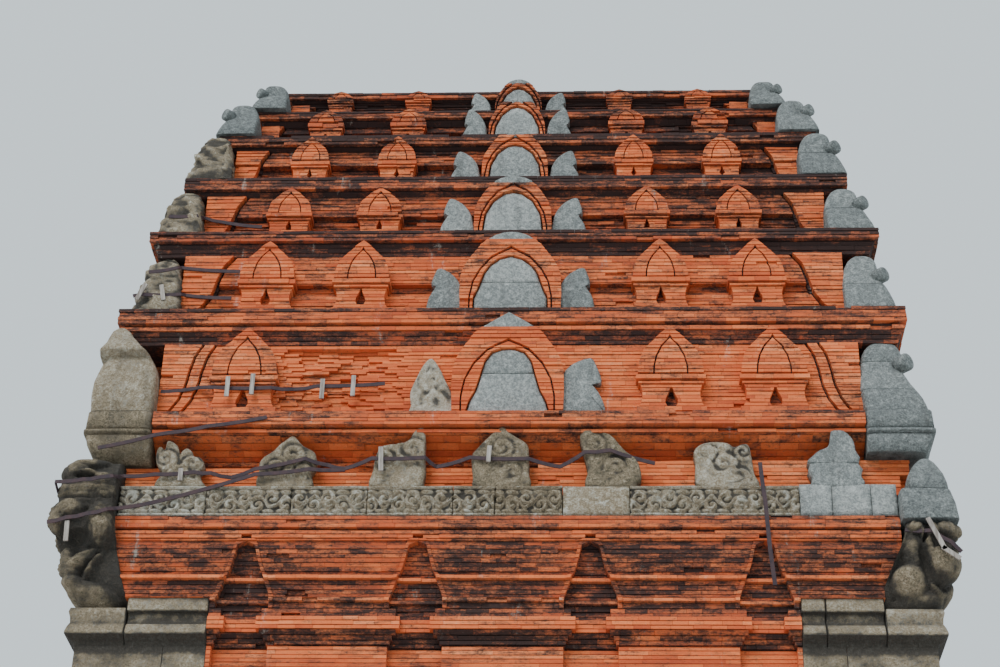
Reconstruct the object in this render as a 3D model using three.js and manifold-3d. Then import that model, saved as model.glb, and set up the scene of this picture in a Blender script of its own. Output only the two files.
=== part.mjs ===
// Brick temple tower of the Cham kind: a square body with a hollow cella, a
// moulded main cornice with a carved stone frieze, and six roof storeys that
// step in towards a flat top. Millimetres, +Z up, origin at the middle of the
// foot on the ground. The front faces -Y.
import * as THREE from 'three';
import Module from 'manifold-3d';
import { mergeVertices } from 'three/addons/utils/BufferGeometryUtils.js';

const wasm = await Module();
wasm.setup();

// Driving dimensions. A "half" is measured from the tower's axis to a face.
const GAP = 0.3;
const FAR = 30000;

const PLINTH = { half: 5000, upperHalf: 4880, step: 200, height: 400 };
const WALL = { half: 4535, top: 10400, inner: 2500 };
const BAYS = { recessDepth: 100, edges: [640, 1220, 2490, 3090] };

const DOOR = { half: 750, height: 2600, jamb: 200, lintel: 250, stoneDepth: 550, proud: 250 };
const GABLE = { half: 1450, spring: 2900, height: 4900, proud: 450, bite: 130 };

const CORNICE_TOP = 11865;
const FRIEZE = { half: 4705, top: 12235, thickness: 420, endHalf: 4250 };
const ATTIC = { waistFoot: 12780, middle: 12890, middleHalf: 4460, waistTop: 12930, waistHalf: 4640 };
const ATTIC_LEDGE = { half: 4720, fascia: 13000, top: 13180 };
const ATTIC_CORNER = { inner: 3985, outer: 4690, foot: 12550 };
const NOTCH = { half: 4250, bottom: 10800, top: 12490 };
const VAULT = { bottomHalf: 2500, bottom: 10400, topHalf: 300, top: 18490 };

const ANTEFIX = { spacing: 1200, count: 7, width: 600, height: 640, thickness: 200, setBack: 20 };

// Each roof storey: where it starts, where its wall stops under the cavetto,
// where the ledge's fascia starts and stops, and the ledge's half width.
const STOREYS = [
  { base: 13180, wallTop: 14190, fascia: 14400, top: 14650, ledge: 4570 },
  { base: 14650, wallTop: 15590, fascia: 15750, top: 15890, ledge: 4380 },
  { base: 15890, wallTop: 16660, fascia: 16760, top: 16900, ledge: 4105 },
  { base: 16900, wallTop: 17560, fascia: 17660, top: 17800, ledge: 3805 },
  { base: 17800, wallTop: 18290, fascia: 18370, top: 18490, ledge: 3420 },
  { base: 18490, wallTop: 18880, fascia: 18960, top: 19060, ledge: 3100 },
];
// The stones at each storey's corners: inner edge, outer edge of the foot, head
const CORNER_STONES = [
  { inner: 4000, foot: 4700, head: 14190 },
  { inner: 3930, foot: 4500, head: 15590 },
  { inner: 3810, foot: 4360, head: 16660 },
  { inner: 3570, foot: 4120, head: 17720 },
  { inner: 3360, foot: 3860, head: 18450 },
  { inner: 3060, foot: 3505, head: 19030 },
];
// The groove along each storey's wall, measured up from the storey's base
const GROOVES = [null, [420, 520], [350, 480], [290, 460], [210, 400], [150, 290]];
const WALL_SET_BACK = 110;
const GROOVE_DEPTH = 80;
const ROOT = 20;
const SKIRT = 5;
const RELIEF = { niche: 150, gable: 160, flank: 120, wing: 45 };

// Widths and places of the ornaments on each storey's faces.
const NICHES = [
  { width: 790, centres: [1850, 3020] },
  { width: 690, centres: [1770, 2900] },
  { width: 565, centres: [1635, 2750] },
  { width: 500, centres: [1495, 2600] },
  { width: 470, centres: [1420, 2500] },
  { width: 350, centres: [1340, 2380] },
];
const NICHE_FOOT_SHARE = 0.06;
const GABLES = [
  { width: 1320, height: 1380 },
  { width: 1240, height: 1160 },
  { width: 980, height: 970 },
  { width: 860, height: 860 },
  { width: 760, height: 830 },
  { width: 640, height: 730 },
];
const FLANKS = [
  { width: 510, centre: 855, height: 750 },
  { width: 440, centre: 770, height: 700 },
  { width: 420, centre: 690, height: 690 },
  { width: 385, centre: 632, height: 630 },
  { width: 340, centre: 555, height: 690 },
  { width: 310, centre: 510, height: 540 },
];
const WING = { footShare: 0.1, curveShare: 0.75 };
const LOOSE_CORNER_STOREYS = 3;
const CORNER_ROOT = 60;
const ROOF_TOP = { top: 20000, steps: [[2860, 0], [2820, 0.16], [2600, 0.4], [2150, 0.74], [1700, 1]] };

// Materials
const brick = new THREE.MeshStandardMaterial({ color: 0xc0623c, roughness: 0.95, metalness: 0 });
const darkBrick = new THREE.MeshStandardMaterial({ color: 0x8a4a32, roughness: 0.97, metalness: 0 });
const oldStone = new THREE.MeshStandardMaterial({ color: 0x8f8a70, roughness: 0.95, metalness: 0 });
const newStone = new THREE.MeshStandardMaterial({ color: 0x8b9492, roughness: 0.9, metalness: 0 });

// A closed geometry becomes a solid that can be joined and cut.
function solid(geometry) {
  const bare = geometry.index ? geometry.clone() : geometry;
  bare.deleteAttribute('normal');
  bare.deleteAttribute('uv');
  const merged = mergeVertices(bare, 0.01);
  return new wasm.Manifold(new wasm.Mesh({
    numProp: 3,
    vertProperties: new Float32Array(merged.attributes.position.array),
    triVerts: new Uint32Array(merged.index.array),
  }));
}

function mesh(name, shape, material) {
  const { vertProperties, triVerts } = shape.getMesh();
  const geometry = new THREE.BufferGeometry();
  geometry.setAttribute('position', new THREE.BufferAttribute(new Float32Array(vertProperties), 3));
  geometry.setIndex(new THREE.BufferAttribute(new Uint32Array(triVerts), 1));
  geometry.computeVertexNormals();
  const result = new THREE.Mesh(geometry, material);
  result.name = name;
  return result;
}

function box(x0, x1, y0, y1, z0, z1) {
  const geometry = new THREE.BoxGeometry(x1 - x0, y1 - y0, z1 - z0);
  geometry.translate((x0 + x1) / 2, (y0 + y1) / 2, (z0 + z1) / 2);
  return solid(geometry);
}

// An outline drawn on the front face, x across and z up, pushed out from the
// plane y = -from to y = -to.
function facePrism(points, from, to) {
  const shape = new THREE.Shape(points.map(([x, z]) => new THREE.Vector2(x, z)));
  const geometry = new THREE.ExtrudeGeometry(shape, { depth: to - from, bevelEnabled: false });
  geometry.rotateX(Math.PI / 2);
  geometry.translate(0, -from, 0);
  return solid(geometry);
}

// Side 0 is the front, 1 the right, 2 the back and 3 the left.
function onSide(shape, side) {
  return shape.rotate([0, 0, 90 * side]);
}

function union(shapes) {
  return shapes.reduce((sum, shape) => sum.add(shape));
}

// Right half of an outline, bottom to top, mirrored to a whole one.
function mirrored(rightHalf) {
  const left = rightHalf.filter(([x]) => x > 0).map(([x, z]) => [-x, z]).reverse();
  return [...rightHalf, ...left];
}

function placed(points, width, height, x, z) {
  return points.map(([px, pz]) => [x + px * width, z + pz * height]);
}

// Square plan, and the body's plan with its recessed strips between pilasters.
function squarePlan(half) {
  return [[-half, -half], [half, -half], [half, half], [-half, half]];
}

function bayPlan(half, grown = 0) {
  const depth = -half + BAYS.recessDepth;
  const [a, b, c, d] = BAYS.edges;
  const rightSteps = [
    [a + grown, -half], [a + grown, depth], [b - grown, depth], [b - grown, -half],
    [c + grown, -half], [c + grown, depth], [d - grown, depth], [d - grown, -half],
  ];
  const leftSteps = rightSteps.map(([x, y]) => [-x, y]).reverse();
  const front = [[-half, -half], ...leftSteps, ...rightSteps];
  const plan = [];
  for (let side = 0; side < 4; side += 1) {
    const cos = Math.round(Math.cos((side * Math.PI) / 2));
    const sin = Math.round(Math.sin((side * Math.PI) / 2));
    front.forEach(([x, y]) => plan.push([x * cos - y * sin, x * sin + y * cos]));
  }
  return plan;
}

// A stack of plans joined by sloping faces. levels holds [plan, z] from the
// bottom up. hole, if given, holds the square void's [bottomHalf, topHalf].
function stack(levels, hole) {
  const count = levels[0][0].length;
  const positions = [];
  const index = [];
  levels.forEach(([plan, z]) => plan.forEach(([x, y]) => positions.push(x, y, z)));
  for (let level = 0; level + 1 < levels.length; level += 1) {
    for (let i = 0; i < count; i += 1) {
      const j = (i + 1) % count;
      const a = level * count + i;
      const b = level * count + j;
      index.push(a, b, b + count, a, b + count, a + count);
    }
  }
  const bottomHole = positions.length / 3;
  const topStart = (levels.length - 1) * count;
  if (hole) {
    squarePlan(hole[0]).forEach(([x, y]) => positions.push(x, y, levels[0][1]));
    squarePlan(hole[1]).forEach(([x, y]) => positions.push(x, y, levels[levels.length - 1][1]));
    for (let i = 0; i < 4; i += 1) {
      const a = bottomHole + i;
      const b = bottomHole + ((i + 1) % 4);
      index.push(b, a, a + 4, b, a + 4, b + 4);
    }
  }
  [[levels[0][0], 0, 0, true], [levels[levels.length - 1][0], topStart, 1, false]]
    .forEach(([plan, start, end, down]) => {
      const contour = plan.map(([x, y]) => new THREE.Vector2(x, y));
      const voids = hole ? [squarePlan(hole[end]).map(([x, y]) => new THREE.Vector2(x, y)).reverse()] : [];
      const vertexOf = (i) => (i < count ? start + i : bottomHole + 4 * end + 3 - (i - count));
      THREE.ShapeUtils.triangulateShape(contour, voids).forEach((face) => {
        const [a, b, c] = face.map(vertexOf);
        index.push(...(down ? [a, c, b] : [a, b, c]));
      });
    });
  const geometry = new THREE.BufferGeometry();
  geometry.setAttribute('position', new THREE.BufferAttribute(new Float32Array(positions), 3));
  geometry.setIndex(index);
  return solid(geometry);
}

function vaultHalf(z) {
  const share = (z - VAULT.bottom) / (VAULT.top - VAULT.bottom);
  return VAULT.bottomHalf + (VAULT.topHalf - VAULT.bottomHalf) * share;
}

// Outlines in units of width and height, right half from the foot up
const NICHE_OUTLINE = mirrored([[0.38, 0], [0.38, 0.3], [0.5, 0.31], [0.5, 0.42], [0.34, 0.75], [0, 1]]);
const GABLE_OUTLINE = mirrored([[0.5, 0], [0.5, 0.22], [0.42, 0.5], [0.22, 0.76], [0, 1]]);
const FLANK_OUTLINE = [[-0.5, 0], [0.5, 0], [0.36, 0.6], [-0.1, 1], [-0.4, 0.6]];
const ANTEFIX_OUTLINE = mirrored([[0.46, 0], [0.5, 0.62], [0.24, 0.9], [0, 1]]);
const WING_EDGE = [[1, 0], [0.5, 0.25], [0.25, 0.75], [0, 1]];

const temple = new THREE.Group();

// Foot of the tower, two stone courses, which also carry the cella's floor
temple.add(mesh('stone_plinth', stack([
  [squarePlan(PLINTH.half), 0],
  [squarePlan(PLINTH.half), PLINTH.step],
  [squarePlan(PLINTH.upperHalf), PLINTH.step],
  [squarePlan(PLINTH.upperHalf), PLINTH.height],
]), oldStone));

// Body walls with moulded foot and pilasters, as one ring that is then split
const floor = PLINTH.height;
const FOOT_MOULDING = [
  [220, 0], [220, 260], [150, 300], [190, 420], [190, 560], [90, 640], [90, 760], [0, 820],
];
const wallLevels = FOOT_MOULDING.map(([out, up]) => [bayPlan(WALL.half + out, out), floor + GAP + up]);
wallLevels.push([bayPlan(WALL.half), WALL.top]);
let walls = stack(wallLevels, [WALL.inner, WALL.inner]);

// Pointed gable over the doorway, its two pilasters reaching the plinth. The
// blind doors on the other three sides are the same, closed by a panel.
const gableOutline = mirrored([
  [GABLE.half, floor + GAP],
  [GABLE.half, floor + GABLE.spring],
  [0.9 * GABLE.half, floor + GABLE.spring + 60],
  [0.82 * GABLE.half, floor + GABLE.spring + 700],
  [0.5 * GABLE.half, floor + GABLE.spring + 1350],
  [0, floor + GABLE.height],
]);
const gableBack = WALL.half - GABLE.bite;
const gableFront = WALL.half + GABLE.proud;
const doorGable = facePrism(gableOutline, gableBack, gableFront);
const grown = gableOutline.map(([x, z]) => [x * (1 + GAP / GABLE.half), z > floor + 1 ? z + GAP : z - GAP]);
const gableSeat = facePrism(grown, gableBack - GAP, FAR);
for (let side = 0; side < 4; side += 1) {
  walls = walls.subtract(onSide(gableSeat, side));
}

const doorHead = floor + DOOR.height;
const belowFloor = floor - 10;
const passage = box(-DOOR.half, DOOR.half, -FAR, -WALL.inner + GAP, belowFloor, doorHead);
walls = walls.subtract(passage);

const seam = GAP / 2;
const innerEdge = WALL.inner;
const wallParts = {
  front_wall_left: box(-FAR, -DOOR.half - seam, -FAR, -innerEdge - seam, 0, FAR),
  front_wall_right: box(DOOR.half + seam, FAR, -FAR, -innerEdge - seam, 0, FAR),
  front_wall_over_door: box(-DOOR.half + seam, DOOR.half - seam, -FAR, -innerEdge - seam, 0, FAR),
  back_wall: box(-FAR, FAR, innerEdge + seam, FAR, 0, FAR),
  left_wall: box(-FAR, 0, -innerEdge + seam, innerEdge - seam, 0, FAR),
  right_wall: box(0, FAR, -innerEdge + seam, innerEdge - seam, 0, FAR),
};
Object.entries(wallParts).forEach(([name, region]) => {
  temple.add(mesh(name, walls.intersect(region), brick));
});

// Stone posts and lintel that line the outer end of the doorway
const stoneFront = -(WALL.half + DOOR.proud);
const stoneBack = stoneFront + DOOR.stoneDepth;
const lintelFoot = doorHead - DOOR.lintel;
const doorSide = DOOR.half - GAP;
temple.add(mesh(
  'door_jamb_left',
  box(-doorSide, -doorSide + DOOR.jamb, stoneFront, stoneBack, floor + GAP, lintelFoot - GAP),
  oldStone,
));
temple.add(mesh(
  'door_jamb_right',
  box(doorSide - DOOR.jamb, doorSide, stoneFront, stoneBack, floor + GAP, lintelFoot - GAP),
  oldStone,
));
temple.add(mesh(
  'door_lintel',
  box(-doorSide, doorSide, stoneFront, stoneBack, lintelFoot, doorHead - GAP),
  oldStone,
));

temple.add(mesh('doorway_gable', doorGable.subtract(passage), brick));
const blindPanel = box(-DOOR.half, DOOR.half, -FAR, -WALL.half - DOOR.proud, belowFloor, doorHead);
const blindDoor = doorGable.subtract(blindPanel);
temple.add(mesh('false_door_right', onSide(blindDoor, 1), brick));
temple.add(mesh('false_door_back', onSide(blindDoor, 2), brick));
temple.add(mesh('false_door_left', onSide(blindDoor, 3), brick));

// Corner seats for the guardian figures, cut out of cornice, frieze and shelf
function notched(shape) {
  const notch = box(NOTCH.half, FAR, -FAR, -NOTCH.half, NOTCH.bottom, NOTCH.top);
  let rest = shape;
  for (let side = 0; side < 4; side += 1) {
    rest = rest.subtract(onSide(notch, side));
  }
  return rest;
}

// Main cornice: overhang and height of each moulding, from the wall up. The
// recessed strips run up to the great moulding; the fascia above is unbroken.
const CORNICE_MOULDINGS = [
  [0, 0], [20, 60], [130, 150], [130, 290], [80, 325], [80, 440], [140, 455], [140, 530],
  [85, 560], [150, 680], [150, 755], [70, 800], [135, 930], [170, 1180],
];
const CORNICE_FASCIA = [[190, 1175], [190, 1270], [210, 1290], [210, CORNICE_TOP - WALL.top]];
const SPREAD = 0.5;
const corniceLevels = CORNICE_MOULDINGS.map(([out, up]) => [
  bayPlan(WALL.half + out, SPREAD * out), WALL.top + up + (up === 0 ? GAP : 0),
]);
const fasciaLevels = CORNICE_FASCIA.map(([out, up]) => [squarePlan(WALL.half + out), WALL.top + up]);
const [fasciaFoot, mouldingsHead] = [fasciaLevels[0][1], corniceLevels[corniceLevels.length - 1][1]];
temple.add(mesh(
  'main_cornice',
  notched(
    stack(corniceLevels, [vaultHalf(WALL.top), vaultHalf(mouldingsHead)])
      .add(stack(fasciaLevels, [vaultHalf(fasciaFoot), vaultHalf(CORNICE_TOP)])),
  ),
  darkBrick,
));

// Carved stone frieze with seven standing stones on each side
const friezeBack = FRIEZE.half - FRIEZE.thickness;
const antefixFront = FRIEZE.half - ANTEFIX.setBack;
const friezeFoot = CORNICE_TOP + GAP;
['front', 'right', 'back', 'left'].forEach((name, side) => {
  const band = box(-FRIEZE.endHalf, FRIEZE.endHalf, -FRIEZE.half, -friezeBack, friezeFoot, FRIEZE.top);
  const stones = [];
  for (let i = 0; i < ANTEFIX.count; i += 1) {
    const x = (i - (ANTEFIX.count - 1) / 2) * ANTEFIX.spacing;
    const outline = placed(ANTEFIX_OUTLINE, ANTEFIX.width, ANTEFIX.height, x, FRIEZE.top - 1);
    stones.push(facePrism(outline, antefixFront - ANTEFIX.thickness, antefixFront));
  }
  temple.add(mesh(`stone_frieze_${name}`, onSide(union([band, ...stones]), side), oldStone));
});

// Attic: brick wall behind the frieze, hollow waist and the first ledge, with a
// rounded stone under each corner of the ledge
const shelfHalf = friezeBack - GAP;
let attic = notched(stack([
  [squarePlan(shelfHalf), friezeFoot],
  [squarePlan(shelfHalf), ATTIC.waistFoot],
  [squarePlan(ATTIC.middleHalf), ATTIC.middle],
  [squarePlan(ATTIC.waistHalf), ATTIC.waistTop],
  [squarePlan(ATTIC.waistHalf), ATTIC_LEDGE.fascia],
  [squarePlan(ATTIC_LEDGE.half), ATTIC_LEDGE.fascia],
  [squarePlan(ATTIC_LEDGE.half), ATTIC_LEDGE.top],
], [vaultHalf(CORNICE_TOP), vaultHalf(ATTIC_LEDGE.top)]));
const atticCorner = box(
  ATTIC_CORNER.inner, ATTIC_CORNER.outer, -ATTIC_CORNER.outer, -ATTIC_CORNER.inner,
  ATTIC_CORNER.foot, ATTIC_LEDGE.fascia + SKIRT,
);
for (let side = 0; side < 4; side += 1) {
  attic = attic.add(onSide(atticCorner, side));
}
temple.add(mesh('attic_ledge', attic, brick));

// Corner stone: a block that swells towards its foot, with a curled knob
const CORNER_LEVELS = [
  [0, 1, 0], [0, 0.95, 0.17], [0, 0.8, 0.42], [0, 0.62, 0.8], [0.05, 0.48, 0.93], [0.14, 0.32, 1],
];
const KNOB = { reach: 0.68, size: 0.19, height: 0.64, around: 6, tall: 4 };

function cornerStone(base, { inner: near, foot: far, head }) {
  const width = far - near;
  const height = head - base - 2 * GAP;
  const levels = CORNER_LEVELS.map(([nearShare, farShare, up]) => {
    const a = near + nearShare * width;
    const b = near + farShare * width;
    return [[[a, -b], [b, -b], [b, -a], [a, -a]], base + GAP + up * height];
  });
  const knob = new THREE.SphereGeometry(KNOB.size * width, KNOB.around, KNOB.tall);
  const reach = near + KNOB.reach * width;
  knob.translate(reach, -reach, base + KNOB.height * height);
  return stack(levels).add(solid(knob));
}

// Roof storeys: set-back wall with a sunk groove along it, flaring ledge, four
// niches and a stone-filled gable on each side, and the curved corner wings.
function storeyRing(storey, groove, closed) {
  const wall = storey.ledge - WALL_SET_BACK;
  const levels = [[squarePlan(wall), storey.base + GAP]];
  if (groove) {
    const [grooveFoot, grooveHead] = groove.map((up) => storey.base + up);
    levels.push(
      [squarePlan(wall), grooveFoot],
      [squarePlan(wall - GROOVE_DEPTH), grooveFoot],
      [squarePlan(wall - GROOVE_DEPTH), grooveHead],
      [squarePlan(wall), grooveHead],
    );
  }
  levels.push(
    [squarePlan(wall), storey.wallTop],
    [squarePlan(storey.ledge), storey.fascia],
    [squarePlan(storey.ledge), storey.top],
  );
  return stack(levels, closed ? undefined : [vaultHalf(storey.base), vaultHalf(storey.top)]);
}

function storeySide(storey, number, side) {
  const wall = storey.ledge - WALL_SET_BACK;
  const rootDepth = wall - GROOVE_DEPTH - ROOT;
  const rise = storey.wallTop - storey.base;
  const nicheFoot = storey.base + NICHE_FOOT_SHARE * rise;
  const nicheHeight = storey.fascia - ROOT - nicheFoot;
  const { width, centres } = NICHES[number];
  const flank = FLANKS[number];
  const gable = GABLES[number];
  const foot = storey.base + SKIRT;
  const shapes = [];
  [-1, 1].forEach((hand) => {
    centres.forEach((centre) => {
      const lost = side === 0 && number === 0 && hand < 0 && centre === centres[0];
      if (!lost) {
        const outline = placed(NICHE_OUTLINE, width, nicheHeight, hand * centre, nicheFoot);
        shapes.push(facePrism(outline, rootDepth, wall + RELIEF.niche));
      }
    });
    const flankOutline = FLANK_OUTLINE.map(([x, z]) => [hand * x, z]);
    if (hand < 0) flankOutline.reverse();
    const flankPlaced = placed(flankOutline, flank.width, flank.height, hand * flank.centre, foot);
    shapes.push(facePrism(flankPlaced, rootDepth, wall + RELIEF.flank));
    if (number >= LOOSE_CORNER_STOREYS) return;
    const wingFoot = storey.base + WING.footShare * rise;
    const edge = CORNER_STONES[number].inner - GAP;
    const wingWidth = edge - centres[1] - 0.5 * width;
    const wing = WING_EDGE.map(([x, z]) => [
      hand * (edge - (1 - x * WING.curveShare) * wingWidth),
      wingFoot + z * (storey.wallTop - wingFoot),
    ]);
    wing.push([hand * edge, storey.wallTop], [hand * edge, wingFoot]);
    if (hand > 0) wing.reverse();
    shapes.push(facePrism(wing, rootDepth, wall + RELIEF.wing));
  });
  const gablePlaced = placed(GABLE_OUTLINE, gable.width, gable.height, 0, foot);
  shapes.push(facePrism(gablePlaced, rootDepth, wall + RELIEF.gable));
  return shapes.map((shape) => onSide(shape, side));
}

const cornerNames = ['front_right', 'back_right', 'back_left', 'front_left'];
STOREYS.forEach((storey, number) => {
  const closed = number === STOREYS.length - 1;
  const loose = number < LOOSE_CORNER_STOREYS;
  const { inner } = CORNER_STONES[number];
  const stone = cornerStone(storey.base, CORNER_STONES[number]);
  let ring = storeyRing(storey, GROOVES[number], closed);
  const seat = inner - GAP;
  for (let side = 0; side < 4; side += 1) {
    storeySide(storey, number, side).forEach((shape) => {
      ring = ring.add(shape);
    });
  }
  for (let side = 0; side < 4; side += 1) {
    const corner = box(seat, FAR, -FAR, -seat, storey.base - SKIRT, storey.wallTop);
    if (loose) {
      ring = ring.subtract(onSide(corner, side));
      temple.add(mesh(`corner_stone_${number + 1}_${cornerNames[side]}`, onSide(stone, side), newStone));
    } else {
      const rootHalf = storey.ledge - 2 * WALL_SET_BACK;
      const reach = inner + CORNER_ROOT;
      const root = box(rootHalf, reach, -reach, -rootHalf, storey.base + GAP, storey.wallTop - 2 * GAP);
      ring = ring.add(onSide(root.add(stone), side));
    }
  }
  temple.add(mesh(`roof_storey_${number + 1}`, ring, brick));
});

// Curved cap above the last storey, its finial lost
const roofBase = STOREYS[STOREYS.length - 1].top;
temple.add(mesh('roof_top', stack(ROOF_TOP.steps.map(([half, up]) => [
  squarePlan(half), up === 0 ? roofBase + GAP : roofBase + up * (ROOF_TOP.top - roofBase),
])), darkBrick));

// Guardian figures on the four corners of the cornice, facing outwards along
// the diagonal: a seat block in the corner, haunches, belly, chest, head, cap.
// Each mass: along the diagonal from the seat's corner, across it, height, and
// its three radii.
const GUARDIAN_SEAT = 350;
const GUARDIAN_MASSES = [
  [400, -290, 11130, 240, 170, 230],
  [400, 290, 11130, 240, 170, 230],
  [400, 0, 11350, 280, 300, 350],
  [430, 0, 11680, 260, 290, 290],
  [450, 0, 12000, 280, 250, 240],
  [420, 0, 12300, 240, 260, 250],
];
const MASS_AROUND = 7;
const MASS_TALL = 5;
const seatHalf = NOTCH.half + GAP;
const seatFoot = NOTCH.bottom + GAP;
const seatHead = NOTCH.top - GAP;
const diagonal = Math.SQRT2 * NOTCH.half;

function mass([along, across, z, ru, rv, rz]) {
  const geometry = new THREE.SphereGeometry(1, MASS_AROUND, MASS_TALL);
  geometry.rotateX(Math.PI / 2);
  geometry.scale(ru, rv, rz);
  geometry.translate(diagonal + along, across, z);
  geometry.rotateZ(-Math.PI / 4);
  return solid(geometry);
}

const guardian = union([
  box(seatHalf, seatHalf + GUARDIAN_SEAT, -seatHalf - GUARDIAN_SEAT, -seatHalf, seatFoot, seatHead),
  ...GUARDIAN_MASSES.map(mass),
]).intersect(box(seatHalf, FAR, -FAR, -seatHalf, seatFoot, seatHead));
cornerNames.forEach((name, side) => {
  temple.add(mesh(`guardian_${name}`, onSide(guardian, side), oldStone));
});

export default temple;
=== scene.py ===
import bisect
import math
import random

import bpy
import numpy as np
from mathutils import Matrix, Vector, noise


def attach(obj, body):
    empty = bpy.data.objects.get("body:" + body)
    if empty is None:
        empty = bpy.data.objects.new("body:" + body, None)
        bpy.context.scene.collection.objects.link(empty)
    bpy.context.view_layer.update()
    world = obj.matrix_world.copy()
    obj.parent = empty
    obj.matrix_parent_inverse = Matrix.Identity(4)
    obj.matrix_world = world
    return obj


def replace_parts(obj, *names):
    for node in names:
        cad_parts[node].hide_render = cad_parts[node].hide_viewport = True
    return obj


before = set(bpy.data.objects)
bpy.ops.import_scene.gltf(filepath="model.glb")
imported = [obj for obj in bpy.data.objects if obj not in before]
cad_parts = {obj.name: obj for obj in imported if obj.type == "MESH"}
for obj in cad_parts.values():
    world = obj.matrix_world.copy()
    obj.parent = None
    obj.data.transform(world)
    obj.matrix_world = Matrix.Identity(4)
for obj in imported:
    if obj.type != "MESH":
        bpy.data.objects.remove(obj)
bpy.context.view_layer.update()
dice = random.Random(11)

# Camera
# It stands 20 m in front of the face at eye height and looks up at the roof, as the photograph
# does. The focal length is in pixels of a frame 1000 pixels wide.
FOCAL_PIXELS = 2053
FRAME_WIDTH = 1000
SENSOR_WIDTH = 36
EYE = Vector((0.91, -24.535, 1.6))
PITCH, YAW, ROLL = math.radians(32.4), math.radians(2.90), math.radians(1.33)

look = Vector((-math.sin(YAW) * math.cos(PITCH), math.cos(YAW) * math.cos(PITCH), math.sin(PITCH)))
level_right = Vector((math.cos(YAW), math.sin(YAW), 0))
level_up = level_right.cross(look)
camera_right = math.cos(ROLL) * level_right + math.sin(ROLL) * level_up
camera_up = math.cos(ROLL) * level_up - math.sin(ROLL) * level_right
camera_data = bpy.data.cameras.new("camera")
camera_data.lens = FOCAL_PIXELS / FRAME_WIDTH * SENSOR_WIDTH
camera_data.sensor_width = SENSOR_WIDTH
camera_data.sensor_fit = "HORIZONTAL"
camera_data.clip_end = 500
camera = bpy.data.objects.new("camera", camera_data)
bpy.context.scene.collection.objects.link(camera)
turn = Matrix((camera_right, camera_up, -look)).transposed()
camera.matrix_world = Matrix.Translation(EYE) @ turn.to_4x4()
bpy.context.scene.camera = camera

# Light and floor
# An even pale sky all round, one very soft lamp high in front of the left corner, and a plain
# pale floor for the tower to stand on.
SKY_COLOUR = (0.60, 0.68, 0.72, 1)
SKY_STRENGTH = 1.45
SUN_ENERGY = 2.3
SUN_ANGLE = math.radians(25)
SUN_TURN = (math.radians(48), 0, math.radians(-28))
FLOOR_HALF = 60
FLOOR_COLOUR, FLOOR_ROUGHNESS = (0.62, 0.62, 0.60, 1), 0.9

world = bpy.data.worlds.new("pale_sky")
world.use_nodes = True
world.node_tree.nodes["Background"].inputs["Color"].default_value = SKY_COLOUR
world.node_tree.nodes["Background"].inputs["Strength"].default_value = SKY_STRENGTH
bpy.context.scene.world = world
sun_data = bpy.data.lights.new("soft_sun", "SUN")
sun_data.energy = SUN_ENERGY
sun_data.angle = SUN_ANGLE
sun = bpy.data.objects.new("soft_sun", sun_data)
sun.rotation_euler = SUN_TURN
bpy.context.scene.collection.objects.link(sun)

floor_mesh = bpy.data.meshes.new("pale_floor")
floor_corners = [(-1, -1), (1, -1), (1, 1), (-1, 1)]
floor_mesh.from_pydata([(x * FLOOR_HALF, y * FLOOR_HALF, 0) for x, y in floor_corners], [], [(0, 1, 2, 3)])
floor_paint = bpy.data.materials.new("floor_paint")
floor_paint.use_nodes = True
floor_shader = floor_paint.node_tree.nodes["Principled BSDF"]
floor_shader.inputs["Base Color"].default_value = FLOOR_COLOUR
floor_shader.inputs["Roughness"].default_value = FLOOR_ROUGHNESS
floor_mesh.materials.append(floor_paint)
pale_floor = bpy.data.objects.new("pale_floor", floor_mesh)
bpy.context.scene.collection.objects.link(pale_floor)


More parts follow.
